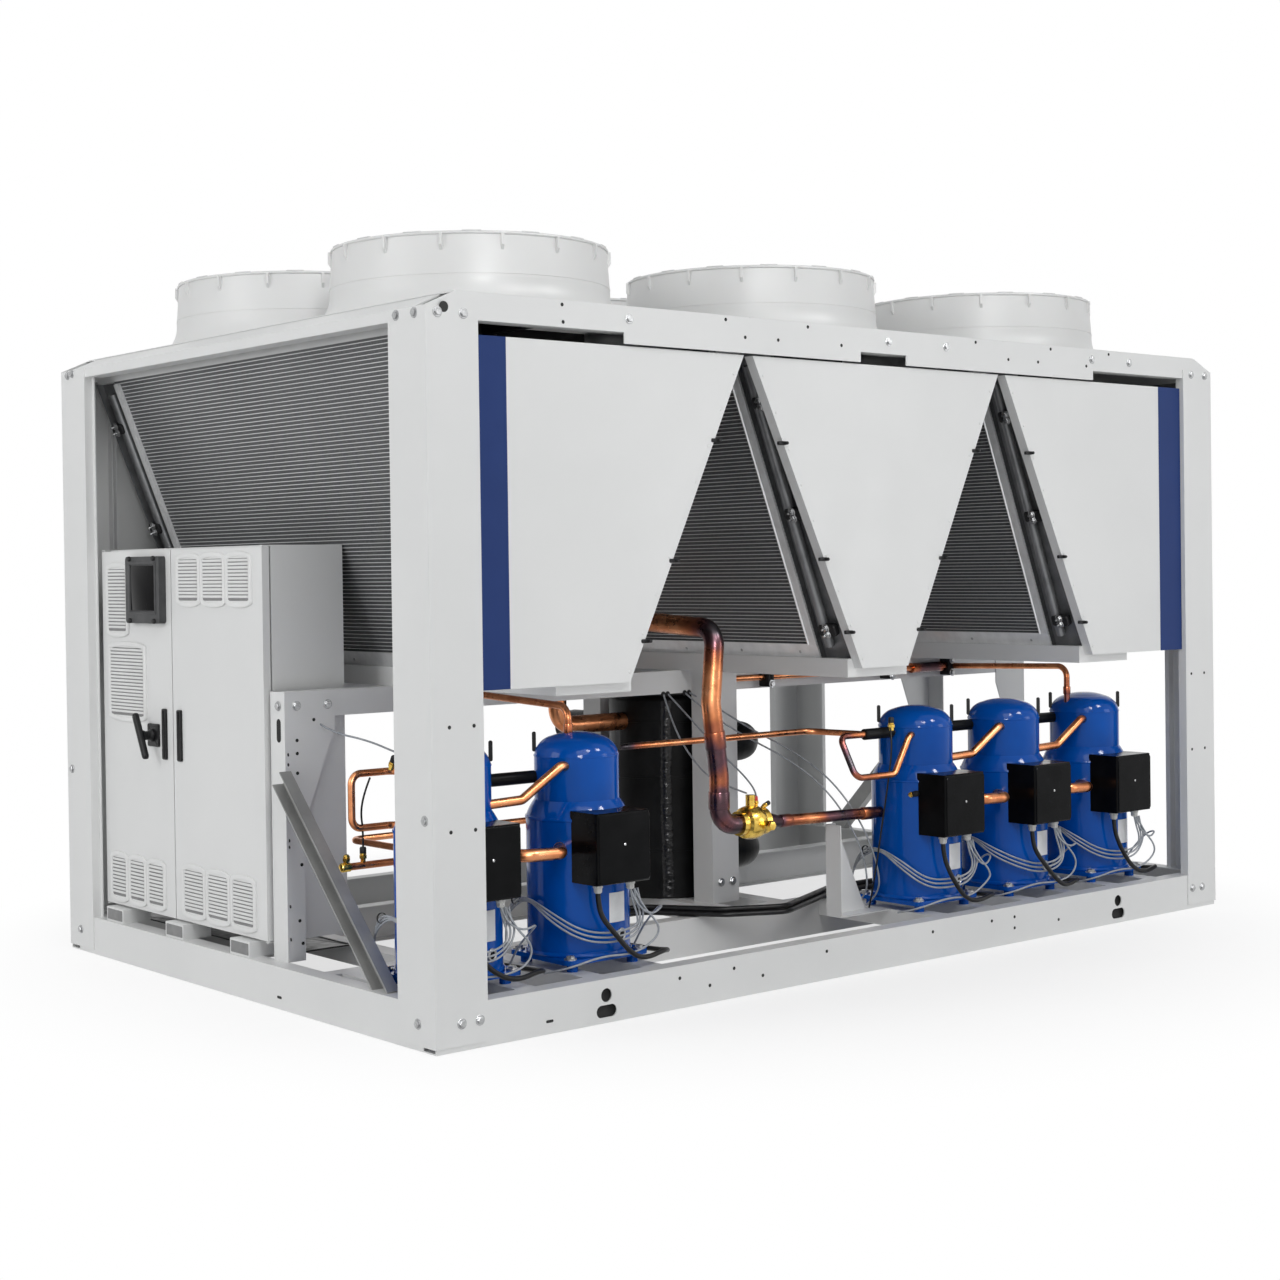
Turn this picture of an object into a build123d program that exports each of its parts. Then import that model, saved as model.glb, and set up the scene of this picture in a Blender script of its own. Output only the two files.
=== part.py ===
"""Air-cooled water chiller: an open steel frame that carries three V-shaped condenser coil
modules with six fans on top, and below them five scroll compressors, the evaporator vessel,
the copper refrigerant lines and the control cabinet.

Millimetres. +Z is up, +X runs along the long side, and the origin is on the ground under the
middle of the frame. The control cabinet is at the -X end, and the front is the -Y side.
"""
from build123d import *
from math import cos, radians, sin
import os

# Overall frame
LENGTH = 3604.0
WIDTH = 2253.0
HALF_L = LENGTH / 2
HALF_W = WIDTH / 2
MODULE = 1194.0
MODULE_CENTRES = (-MODULE, 0.0, MODULE)
FRAME_SHEET = 4.0
PANEL_SHEET = 3.0
FACE_INSET = 4.0
WEB_X = HALF_L - FACE_INSET
WEB_Y = HALF_W - FACE_INSET

# Base frame
RAIL_HEIGHT = 127.0
RAIL_FLANGE = 60.0
LIFT_HOLE_X = 1202.0
LIFT_HOLE_Z = 80.0
LIFT_HOLE_RADIUS = 20.0
LIFT_SLOT_Z = 34.0
LIFT_SLOT_LENGTH = 75.0
LIFT_SLOT_WIDTH = 36.0
INNER_BEAM_Y = 520.0
CROSS_BEAM_WIDTH = 70.0
CROSS_BEAM_HEIGHT = 60.0

# Corner posts
POST_FRONT = 175.0
POST_END = 181.0
POST_FLANGE = 33.0
POST_LIP = 15.0
POST_BOTTOM = 15.0
POST_TOP = 2026.0

# Top frame and fan deck
TOP_BEAM_BOTTOM = 1995.0
DECK = 2070.0
TOP_FLANGE = 60.0
BEVEL = 100.0
SKIRT_BOTTOM = 1962.0
SKIRTS = ((-1102.0, -112.0), (103.0, 1088.0))
DECK_SHEET = 3.0
DECK_HOLE_RADIUS = 430.0

# Fans
FAN_Y = 492.0
FAN_TOP = 2297.0
SHROUD_TOP_RADIUS = 425.0
SHROUD_WAIST_RADIUS = 434.0
SHROUD_FOOT_RADIUS = 466.0
SHROUD_FLANGE_RADIUS = 485.0
SHROUD_WALL = 6.0
BLADES = 7
HUB_RADIUS = 105.0
HUB_HEIGHT = 70.0
BLADE_TIP_RADIUS = 404.0
ROTOR_Z = 2118.0
MOTOR_RADIUS = 80.0
MOTOR_HEIGHT = 140.0
ARM_HEIGHT = 36.0

# Coils and side panels
COIL_BOTTOM = 1008.0
COIL_TOP = 1983.0
COIL_FOOT = 120.0
COIL_SLOPE = 0.393
COIL_THICKNESS = 34.0
COIL_HALF_SPAN = 936.0
PANEL_FACE_Y = HALF_W - 16.0
PANEL_TOP = 1957.0
PANEL_BOTTOM = 978.0
PANEL_DEPTH = 36.0
COIL_END_SPAN = PANEL_FACE_Y - PANEL_DEPTH
TOP_RAIL_WIDTH = 30.0
PANEL_HALF_TOP = 579.0
PANEL_HALF_FOOT = 108.0
PANEL_POST_EDGE = HALF_L - 178.0
STRIPE_THICKNESS = 0.8
STRIPE_EDGE_LEFT = 280.0 - HALF_L
STRIPE_EDGE_RIGHT = 3293.0 - HALF_L

# Middle frame: inner beams, trays, legs and braces
MID_BOTTOM = 868.0
MID_TOP = 948.0
MID_FACE_Y = HALF_W - 870.0
MID_FLANGE = 60.0
TRAY_HALF_WIDTH = 140.0
COLUMN_X = (-87.0, 38.0)
COLUMN_FACE_Y = MID_FACE_Y + 100.0
LEG_FACE_X = 60.0 - HALF_L
LEG_Y = HALF_W - 866.0
LEG_WIDTH = 84.0
LEG_WEB = 62.0
GUSSET_REACH = 176.0
GUSSET_FOOT = 540.0
GUSSET_SHOULDER = 828.0
BRACE_WIDTH = 62.0
BRACE_DEPTH = 40.0

# Control cabinet on the left end
CABINET_FRONT = 75.0 - HALF_L
CABINET_BACK = 332.0 - HALF_L
CABINET_RIGHT = 960.0 - HALF_W
CABINET_LEFT = 2052.0 - HALF_W
CABINET_BOTTOM = 175.0
CABINET_TOP = 1397.0
CABINET_SHEET = 3.0
DOOR_FACE = 45.0 - HALF_L
DOOR_DEPTH = 25.0
DOOR_SHEET = 2.5
DOOR_GAP = 5.0
DOOR_SPLIT = 1550.0 - HALF_W
DOOR_BOTTOM = 181.0
DOOR_TOP = 1391.0
HINGE_INSET_X = 8.0
HINGE_INSET_Y = 6.0
VENT_DEPTH = 8.0
DOOR_CLEARANCE = 2.0
VENT_RECESS = 3.0
SWITCH_Y = 1681.0 - HALF_W
SWITCH_Z = 777.0
SWITCH_REACH = 62.0
SWITCH_PLATE = 76.0
LEVER_LENGTH = 166.0
LEVER_WIDTH = 24.0
LEVER_THICKNESS = 20.0
LEVER_TILT = 27.0

# Compressors
COMPRESSOR_X = tuple(station - HALF_L for station in (238.0, 714.0, 2224.0, 2696.0, 3166.0))
COMPRESSOR_Y = 272.0 - HALF_W
SHELL_RADIUS = 155.0
DOME_RADIUS = 128.0
SHELL_BOTTOM = 165.0
SHELL_TOP = 571.0
DOME_FOOT = 622.0
DOME_SHOULDER = 752.0
COMPRESSOR_TOP = 821.0
FOOT_X = 115.0
FOOT_Y = 112.0
BOX_WIDTH = 200.0
BOX_HEIGHT = 210.0
BOX_DEPTH = 78.0
BOX_BOTTOM = 388.0

# Water side
VESSEL_X = 9.0
VESSEL_RADIUS = 205.0
VESSEL_TOP = 855.0
WATER_PIPE_X = 430.0
WATER_PIPE_Z = (245.0, 650.0)
WATER_PIPE_RADIUS = 72.0

# Copper lines
SUCTION_RADIUS = 32.0
SUCTION_Y = 300.0 - HALF_W
SUCTION_LOW_Z = 478.0
BRANCH_RADIUS = 19.0
DISCHARGE_RADIUS = 14.0
LIQUID_RADIUS = 11.0
LOOP_RADIUS = 11.0
VALVE_X = (-402.0, -286.0)
VALVE_RADIUS = 55.0
DRIER_X = (1040.0, 1240.0)
DRIER_RADIUS = 19.0


def block(low, high, mode=Mode.ADD):
    """Add a box between two opposite corners to the part being built."""
    size = [b - a for a, b in zip(low, high)]
    with Locations(tuple(low)):
        Box(*size, align=(Align.MIN, Align.MIN, Align.MIN), mode=mode)


def channel(plane, web, flange, sheet, length):
    """Extrude a C channel: the web stands along the plane's y, the flanges along its x."""
    with BuildSketch(plane) as profile:
        with BuildLine():
            Polyline(
                (0, 0), (flange, 0), (flange, sheet), (sheet, sheet),
                (sheet, web - sheet), (flange, web - sheet), (flange, web), (0, web),
                close=True,
            )
        make_face()
    extrude(profile.sketch, amount=length)


def prism_y(points, y0, y1, mode=Mode.ADD):
    """Extrude an outline drawn in X and Z from y0 to y1."""
    with BuildSketch(Plane.XZ.offset(-y1)) as profile:
        with BuildLine():
            Polyline(*points, close=True)
        make_face()
    extrude(profile.sketch, amount=y1 - y0, mode=mode)


def pipe(points, radius, bend):
    """Sweep a round section along straight runs joined by bends of the given radius."""
    with BuildLine() as route:
        if len(points) > 2:
            FilletPolyline(*points, radius=bend)
        else:
            Line(*points)
    with BuildSketch(Plane(origin=route.line @ 0, z_dir=route.line % 0)) as section:
        Circle(radius)
    sweep(section.sketch, path=route.line)


def write(part, name):
    """Label a finished piece and write it as its own file."""
    part.label = name
    export_step(part, f"parts/{name}.step")


os.makedirs("parts", exist_ok=True)


# Long base rails: folded C channels with lifting holes and slots
with BuildPart() as base_rail_front:
    start = Plane(origin=(-WEB_X, -WEB_Y, 0), x_dir=(0, 1, 0), z_dir=(1, 0, 0))
    channel(start, RAIL_HEIGHT, RAIL_FLANGE, FRAME_SHEET, 2 * WEB_X)
    with Locations(*[
        Location((x, -WEB_Y, LIFT_HOLE_Z), (90, 0, 0)) for x in (-LIFT_HOLE_X, LIFT_HOLE_X)
    ]):
        Cylinder(LIFT_HOLE_RADIUS, 4 * FRAME_SHEET, mode=Mode.SUBTRACT)
    with BuildSketch(Plane.XZ.offset(WEB_Y + FRAME_SHEET)):
        with Locations((-LIFT_HOLE_X, LIFT_SLOT_Z), (LIFT_HOLE_X, LIFT_SLOT_Z)):
            SlotOverall(LIFT_SLOT_LENGTH, LIFT_SLOT_WIDTH)
    extrude(amount=-3 * FRAME_SHEET, mode=Mode.SUBTRACT)
write(base_rail_front.part, "base_rail_front")

with BuildPart() as base_rail_rear:
    mirror(base_rail_front.part, about=Plane.XZ)
write(base_rail_rear.part, "base_rail_rear")

# End base rails between the flanges of the long rails
with BuildPart() as base_rail_left:
    end_rail_y = WEB_Y - RAIL_FLANGE
    start = Plane(origin=(-WEB_X, end_rail_y, 0), x_dir=(1, 0, 0), z_dir=(0, -1, 0))
    channel(start, RAIL_HEIGHT, RAIL_FLANGE, FRAME_SHEET, 2 * end_rail_y)
write(base_rail_left.part, "base_rail_left")

with BuildPart() as base_rail_right:
    mirror(base_rail_left.part, about=Plane.YZ)
write(base_rail_right.part, "base_rail_right")

# Two inner beams the length of the frame, then cross beams under the machinery and a pipe stand
with BuildPart() as base_inner_beams:
    inner_x = WEB_X - RAIL_FLANGE
    start = Plane(origin=(-inner_x, -INNER_BEAM_Y, 0), x_dir=(0, 1, 0), z_dir=(1, 0, 0))
    channel(start, RAIL_HEIGHT, RAIL_FLANGE, FRAME_SHEET, 2 * inner_x)
    mirror(about=Plane.XZ)
write(base_inner_beams.part, "base_inner_beams")

with BuildPart() as base_cross_beams:
    for x in COMPRESSOR_X:
        for side in (-1, 1):
            middle = x + side * FOOT_X
            block(
                (middle - CROSS_BEAM_WIDTH / 2, -WEB_Y + RAIL_FLANGE, RAIL_HEIGHT - CROSS_BEAM_HEIGHT),
                (middle + CROSS_BEAM_WIDTH / 2, -INNER_BEAM_Y, RAIL_HEIGHT),
            )
    inner_y = INNER_BEAM_Y - RAIL_FLANGE
    for x in (CABINET_BACK + 60, VESSEL_X - 110, VESSEL_X + 110):
        block(
            (x - CROSS_BEAM_WIDTH / 2, -inner_y, RAIL_HEIGHT - CROSS_BEAM_HEIGHT),
            (x + CROSS_BEAM_WIDTH / 2, inner_y, RAIL_HEIGHT),
        )
    block((COMPRESSOR_X[2] - 384, -860, RAIL_HEIGHT), (COMPRESSOR_X[2] - 380, -790, 434))
    prism_y(
        [
            (COMPRESSOR_X[2] - 380, RAIL_HEIGHT), (COMPRESSOR_X[2] - 380, 434),
            (COMPRESSOR_X[2] - 340, 434), (COMPRESSOR_X[2] - 200, RAIL_HEIGHT),
        ],
        -794, -790,
    )
    block((COMPRESSOR_X[2] - 384, -860, RAIL_HEIGHT - 4), (COMPRESSOR_X[2] - 80, -790, RAIL_HEIGHT))
write(base_cross_beams.part, "base_cross_beams")

# Corner posts: one folded sheet with inward flanges, the end flange with a return lip
with BuildPart() as post_front_left:
    with BuildSketch(Plane(origin=(-HALF_L, -HALF_W, POST_BOTTOM))):
        s = FRAME_SHEET
        with BuildLine():
            Polyline(
                (0, 0), (POST_FRONT, 0), (POST_FRONT, POST_FLANGE), (POST_FRONT - s, POST_FLANGE),
                (POST_FRONT - s, s), (s, s), (s, POST_END - s), (POST_FLANGE, POST_END - s),
                (POST_FLANGE, POST_END + POST_LIP), (POST_FLANGE - s, POST_END + POST_LIP),
                (POST_FLANGE - s, POST_END), (0, POST_END),
                close=True,
            )
        make_face()
    extrude(amount=POST_TOP - POST_BOTTOM)
    for z0, z1 in ((0, RAIL_HEIGHT), (TOP_BEAM_BOTTOM, DECK)):
        block((-WEB_X, -WEB_Y, z0), (-WEB_X + POST_FRONT, 0, z1), mode=Mode.SUBTRACT)
write(post_front_left.part, "post_front_left")

with BuildPart() as post_front_right:
    mirror(post_front_left.part, about=Plane.YZ)
write(post_front_right.part, "post_front_right")

with BuildPart() as post_rear_left:
    mirror(post_front_left.part, about=Plane.XZ)
write(post_rear_left.part, "post_rear_left")

with BuildPart() as post_rear_right:
    mirror(post_front_right.part, about=Plane.XZ)
write(post_rear_right.part, "post_rear_right")

# Long top beams: channels with skirts over the panels and ends cut to the end beams' slope
bevel_cut = [
    (HALF_L - BEVEL, DECK), (HALF_L, DECK), (HALF_L, POST_TOP),
]
with BuildPart() as top_beam_front:
    start = Plane(origin=(-WEB_X, -WEB_Y, TOP_BEAM_BOTTOM), x_dir=(0, 1, 0), z_dir=(1, 0, 0))
    channel(start, DECK - TOP_BEAM_BOTTOM, TOP_FLANGE, FRAME_SHEET, 2 * WEB_X)
    for x0, x1 in SKIRTS:
        block((x0, -WEB_Y, SKIRT_BOTTOM), (x1, -WEB_Y + FRAME_SHEET, TOP_BEAM_BOTTOM))
    for side in (-1, 1):
        outline = [(side * x, z) for x, z in bevel_cut]
        prism_y(outline, -WEB_Y, -WEB_Y + TOP_FLANGE, mode=Mode.SUBTRACT)
write(top_beam_front.part, "top_beam_front")

with BuildPart() as top_beam_rear:
    mirror(top_beam_front.part, about=Plane.XZ)
write(top_beam_rear.part, "top_beam_rear")

# End top beams: an upright web that folds over into the slope up to the fan deck
with BuildPart() as top_beam_left:
    s = FRAME_SHEET
    end_beam_y = WEB_Y - TOP_FLANGE
    outline = [
        (0, TOP_BEAM_BOTTOM), (0, POST_TOP), (BEVEL, DECK), (BEVEL + TOP_FLANGE, DECK),
        (BEVEL + TOP_FLANGE, DECK - s), (BEVEL, DECK - s), (s, POST_TOP - s),
        (s, TOP_BEAM_BOTTOM + s), (TOP_FLANGE, TOP_BEAM_BOTTOM + s), (TOP_FLANGE, TOP_BEAM_BOTTOM),
    ]
    prism_y([(x - WEB_X, z) for x, z in outline], -end_beam_y, end_beam_y)
write(top_beam_left.part, "top_beam_left")

with BuildPart() as top_beam_right:
    mirror(top_beam_left.part, about=Plane.YZ)
write(top_beam_right.part, "top_beam_right")

# Fan deck: one plate a module with two round holes
with BuildPart() as fan_deck:
    deck_y = WEB_Y - 4.0
    edges = (-HALF_L + BEVEL, -MODULE / 2, MODULE / 2, HALF_L - BEVEL)
    seam = 3.0
    for centre, x0, x1 in zip(MODULE_CENTRES, edges, edges[1:]):
        with BuildSketch(Plane.XY.offset(DECK)):
            with Locations(((x0 + x1) / 2, 0)):
                Rectangle(x1 - x0 - seam, 2 * deck_y)
            with Locations((centre, -FAN_Y), (centre, FAN_Y)):
                Circle(DECK_HOLE_RADIUS, mode=Mode.SUBTRACT)
        extrude(amount=DECK_SHEET)
write(fan_deck.part, "fan_deck")

# Fan shrouds: moulded bell mouths, two on every module
shroud_foot = DECK + DECK_SHEET
for number, centre in enumerate(MODULE_CENTRES, start=1):
    with BuildPart() as shrouds:
        for row_y in (-FAN_Y, FAN_Y):
            with BuildSketch(Plane.XZ.offset(-row_y)) as wall:
                with BuildLine():
                    Polyline(
                        (centre + SHROUD_FOOT_RADIUS - SHROUD_WALL, shroud_foot),
                        (centre + SHROUD_FLANGE_RADIUS, shroud_foot),
                        (centre + SHROUD_FLANGE_RADIUS, shroud_foot + 4),
                        (centre + SHROUD_FOOT_RADIUS, shroud_foot + 4),
                    )
                    ThreePointArc(
                        (centre + SHROUD_FOOT_RADIUS, shroud_foot + 4),
                        (centre + SHROUD_WAIST_RADIUS + 9, shroud_foot + 38),
                        (centre + SHROUD_WAIST_RADIUS, shroud_foot + 90),
                    )
                    Polyline(
                        (centre + SHROUD_WAIST_RADIUS, shroud_foot + 90),
                        (centre + SHROUD_TOP_RADIUS, FAN_TOP),
                        (centre + SHROUD_TOP_RADIUS - SHROUD_WALL, FAN_TOP),
                        (centre + SHROUD_WAIST_RADIUS - SHROUD_WALL, shroud_foot + 90),
                    )
                    ThreePointArc(
                        (centre + SHROUD_WAIST_RADIUS - SHROUD_WALL, shroud_foot + 90),
                        (centre + SHROUD_WAIST_RADIUS + 9 - SHROUD_WALL, shroud_foot + 38),
                        (centre + SHROUD_FOOT_RADIUS - SHROUD_WALL, shroud_foot),
                    )
                make_face()
            revolve(wall.sketch, axis=Axis((centre, row_y, 0), (0, 0, 1)))
    write(shrouds.part, f"fan_shrouds_{number}")

# Fan rotors: a hub and swept blades, each lofted from its root to its twisted tip
with BuildPart() as fan_rotors:
    for centre in MODULE_CENTRES:
        for row_y in (-FAN_Y, FAN_Y):
            with Locations((centre, row_y, ROTOR_Z)):
                Cylinder(HUB_RADIUS, HUB_HEIGHT)
            for blade in range(BLADES):
                turn = 360 / BLADES * blade
                frame = Plane(Location((centre, row_y, ROTOR_Z), (0, 0, turn)))
                for radius, chord, pitch, sweep_back in (
                    (HUB_RADIUS - 6, 120, 42, 0), (BLADE_TIP_RADIUS, 190, 20, 28),
                ):
                    section = frame * Plane(
                        origin=(radius, sweep_back, 0),
                        x_dir=(0, cos(radians(pitch)), sin(radians(pitch))),
                        z_dir=(1, 0, 0),
                    )
                    with BuildSketch(section):
                        Rectangle(chord, 6)
                loft()
write(fan_rotors.part, "fan_rotors")

# Fan motors, each held by four arms that bolt under the deck
with BuildPart() as fan_motors:
    with Locations(*[
        (centre, row_y, ROTOR_Z - HUB_HEIGHT / 2)
        for centre in MODULE_CENTRES for row_y in (-FAN_Y, FAN_Y)
    ]):
        Cylinder(MOTOR_RADIUS, MOTOR_HEIGHT, align=(Align.CENTER, Align.CENTER, Align.MAX))
write(fan_motors.part, "fan_motors")

with BuildPart() as motor_arms:
    for centre in MODULE_CENTRES:
        for row_y in (-FAN_Y, FAN_Y):
            for turn in (0, 90, 180, 270):
                with Locations(Location((centre, row_y, DECK - ARM_HEIGHT / 2), (0, 0, turn))):
                    with Locations((MOTOR_RADIUS - 6, 0)):
                        Box(
                            DECK_HOLE_RADIUS + 16 - MOTOR_RADIUS, 30, ARM_HEIGHT,
                            align=(Align.MIN, Align.CENTER, Align.CENTER),
                        )
    add(fan_motors.part, mode=Mode.SUBTRACT)
write(motor_arms.part, "motor_arms")


def coil_outline(centre, side, z0, z1, depth0, depth1):
    """The coil's slanted section between two heights, from one depth to another."""
    def outer(z):
        return COIL_FOOT + (z - COIL_BOTTOM) * COIL_SLOPE
    return [
        (centre + side * (outer(z) - depth), z)
        for z, depth in ((z0, depth0), (z1, depth0), (z1, depth1), (z0, depth1))
    ]


# Coils: two leaning slabs a module, in a V that opens upwards
for number, centre in enumerate(MODULE_CENTRES, start=1):
    with BuildPart() as coil_pair:
        for side in (-1, 1):
            slab = coil_outline(centre, side, COIL_BOTTOM, COIL_TOP, 0, COIL_THICKNESS)
            prism_y(slab, -COIL_HALF_SPAN, COIL_HALF_SPAN)
    write(coil_pair.part, f"coil_pair_{number}")

# End frames: steel channels that hold the two ends of every slab
with BuildPart() as coil_end_frames:
    for centre in MODULE_CENTRES:
        for side in (-1, 1):
            back = coil_outline(centre, side, COIL_BOTTOM, COIL_TOP, 26, 30)
            edge = coil_outline(centre, side, COIL_BOTTOM, COIL_TOP, 2, 26)
            for end in (-1, 1):
                near, far = sorted((end * COIL_HALF_SPAN, end * COIL_END_SPAN))
                prism_y(back, near, far)
                lip_in, lip_out = sorted((end * (COIL_END_SPAN - 4), end * COIL_END_SPAN))
                prism_y(edge, lip_in, lip_out)
write(coil_end_frames.part, "coil_end_frames")

# Header tubes along the slabs' ends
with BuildPart() as coil_headers:
    header_y = (COIL_HALF_SPAN + COIL_END_SPAN) / 2 - 18
    for centre in MODULE_CENTRES:
        for side in (-1, 1):
            reach = COIL_TOP - COIL_BOTTOM - 80
            foot_z = COIL_BOTTOM + 40
            foot_x = COIL_FOOT + 40 * COIL_SLOPE - 6
            for end in (-1, 1):
                pipe(
                    [
                        (centre + side * foot_x, end * header_y, foot_z),
                        (centre + side * (foot_x + reach * COIL_SLOPE), end * header_y, foot_z + reach),
                    ],
                    16, 0,
                )
write(coil_headers.part, "coil_headers")

# Coil supports: a folded gutter under each V, and rails that hang the slabs from the deck
with BuildPart() as coil_supports:
    for centre in MODULE_CENTRES:
        outline = [
            (-TRAY_HALF_WIDTH, COIL_BOTTOM), (-TRAY_HALF_WIDTH, MID_TOP),
            (TRAY_HALF_WIDTH, MID_TOP), (TRAY_HALF_WIDTH, COIL_BOTTOM),
        ]
        prism_y([(centre + x, z) for x, z in outline], -COIL_END_SPAN, COIL_END_SPAN)
        for side in (-1, 1):
            near = centre + side * (COIL_FOOT + (COIL_TOP - COIL_BOTTOM) * COIL_SLOPE - 2)
            x0, x1 = sorted((near, near - side * TOP_RAIL_WIDTH))
            under_flange = abs(near) > WEB_X - BEVEL - TOP_FLANGE
            top = DECK - FRAME_SHEET if under_flange else DECK
            block((x0, -end_beam_y, COIL_TOP), (x1, end_beam_y, top))
write(coil_supports.part, "coil_supports")

# Side panels: folded pans that close the ends of the V
panel_outlines = {
    "left": [
        (-PANEL_POST_EDGE, PANEL_BOTTOM), (-PANEL_POST_EDGE, PANEL_TOP),
        (-MODULE + PANEL_HALF_TOP, PANEL_TOP), (-MODULE + PANEL_HALF_FOOT, PANEL_BOTTOM),
    ],
    "middle": [
        (-PANEL_HALF_FOOT, PANEL_BOTTOM), (-PANEL_HALF_TOP, PANEL_TOP),
        (PANEL_HALF_TOP, PANEL_TOP), (PANEL_HALF_FOOT, PANEL_BOTTOM),
    ],
    "right": [
        (PANEL_POST_EDGE, PANEL_BOTTOM), (PANEL_POST_EDGE, PANEL_TOP),
        (MODULE - PANEL_HALF_TOP, PANEL_TOP), (MODULE - PANEL_HALF_FOOT, PANEL_BOTTOM),
    ],
}
for place, outline in panel_outlines.items():
    with BuildPart() as side_panel_front:
        with BuildSketch(Plane.XZ.offset(PANEL_FACE_Y)):
            with BuildLine():
                Polyline(*outline, close=True)
            make_face()
        extrude(amount=-PANEL_DEPTH)
        with BuildSketch(Plane.XZ.offset(PANEL_FACE_Y - PANEL_SHEET)):
            with BuildLine():
                Polyline(*outline, close=True)
            make_face()
            offset(amount=-PANEL_SHEET, kind=Kind.INTERSECTION, mode=Mode.REPLACE)
        extrude(amount=-PANEL_DEPTH, mode=Mode.SUBTRACT)
    write(side_panel_front.part, f"side_panel_front_{place}")
    with BuildPart() as side_panel_rear:
        mirror(side_panel_front.part, about=Plane.XZ)
    write(side_panel_rear.part, f"side_panel_rear_{place}")

# Coloured stripes on the outer edges of the end panels
with BuildPart() as accent_stripes:
    for x0, x1 in ((-PANEL_POST_EDGE, STRIPE_EDGE_LEFT), (STRIPE_EDGE_RIGHT, PANEL_POST_EDGE)):
        block(
            (x0, -PANEL_FACE_Y - STRIPE_THICKNESS, PANEL_BOTTOM),
            (x1, -PANEL_FACE_Y, PANEL_TOP),
        )
    mirror(about=Plane.XZ)
write(accent_stripes.part, "accent_stripes")

# Inner beams: two long channels that carry the trays
with BuildPart() as mid_beams:
    end_x = -LEG_FACE_X - FRAME_SHEET
    for start_x, face_y, inward in ((-end_x, -MID_FACE_Y, 1), (CABINET_BACK + 24, MID_FACE_Y, -1)):
        z_foot = MID_BOTTOM if inward == 1 else MID_TOP
        start = Plane(origin=(start_x, face_y, z_foot), x_dir=(0, inward, 0), z_dir=(1, 0, 0))
        channel(start, MID_TOP - MID_BOTTOM, MID_FLANGE, FRAME_SHEET, end_x - start_x)
write(mid_beams.part, "mid_beams")

# Centre columns against the inner beams, channels open to the right
with BuildPart() as centre_columns:
    x0, x1 = COLUMN_X
    with BuildSketch(Plane.XY.offset(RAIL_HEIGHT)):
        s = FRAME_SHEET
        with BuildLine():
            Polyline(
                (x0, -COLUMN_FACE_Y), (x1, -COLUMN_FACE_Y), (x1, -COLUMN_FACE_Y + 30),
                (x1 - s, -COLUMN_FACE_Y + 30), (x1 - s, -COLUMN_FACE_Y + s),
                (x0 + s, -COLUMN_FACE_Y + s), (x0 + s, -MID_FACE_Y - s), (x1, -MID_FACE_Y - s),
                (x1, -MID_FACE_Y), (x0, -MID_FACE_Y),
                close=True,
            )
        make_face()
    extrude(amount=MID_TOP - RAIL_HEIGHT)
    mirror(about=Plane.XZ)
write(centre_columns.part, "centre_columns")


def leg(face_x, side_x, side_y):
    """A folded leg: an end flange, and a web that widens into a gusset under the beam."""
    near_y = side_y * LEG_Y
    far_y = near_y - side_y * LEG_WIDTH
    sheet_y = near_y - side_y * FRAME_SHEET
    x_in = face_x + side_x * FRAME_SHEET
    block(*corners((face_x, near_y, RAIL_HEIGHT), (x_in, far_y, MID_TOP)))
    outline = [
        (face_x, RAIL_HEIGHT), (face_x, MID_TOP), (face_x + side_x * GUSSET_REACH, MID_TOP),
        (face_x + side_x * GUSSET_REACH, GUSSET_SHOULDER),
        (face_x + side_x * LEG_WEB, GUSSET_FOOT), (face_x + side_x * LEG_WEB, RAIL_HEIGHT),
    ]
    prism_y(outline, *sorted((near_y, sheet_y)))


def corners(a, b):
    """The low and high corners of the box between two opposite corners."""
    return tuple(map(min, a, b)), tuple(map(max, a, b))


# Legs at the two ends; the rear left one stands behind the cabinet
with BuildPart() as end_legs:
    leg(LEG_FACE_X, 1, -1)
    leg(CABINET_BACK + 24 - FRAME_SHEET, 1, 1)
    leg(-LEG_FACE_X, -1, -1)
    leg(-LEG_FACE_X, -1, 1)
write(end_legs.part, "end_legs")

# Diagonal braces: open channels from a leg to the foot of a post, on opposite corners
with BuildPart() as brace:
    top = Vector(LEG_FACE_X, -LEG_Y - 10, 690)
    foot = Vector(LEG_FACE_X, -HALF_W + 285, 110)
    along = (foot - top).normalized()
    across = along.cross(Vector(-1, 0, 0))
    start = Plane(origin=top - across * (BRACE_WIDTH / 2), x_dir=(-1, 0, 0), z_dir=along)
    channel(start, BRACE_WIDTH, BRACE_DEPTH, FRAME_SHEET, (foot - top).length)
    block((-HALF_L, -HALF_W, 0), (LEG_FACE_X + 1, 0, RAIL_HEIGHT), mode=Mode.SUBTRACT)
with BuildPart() as end_braces:
    add(brace.part)
    add(brace.part.rotate(Axis.Z, 180))
write(end_braces.part, "end_braces")

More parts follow.
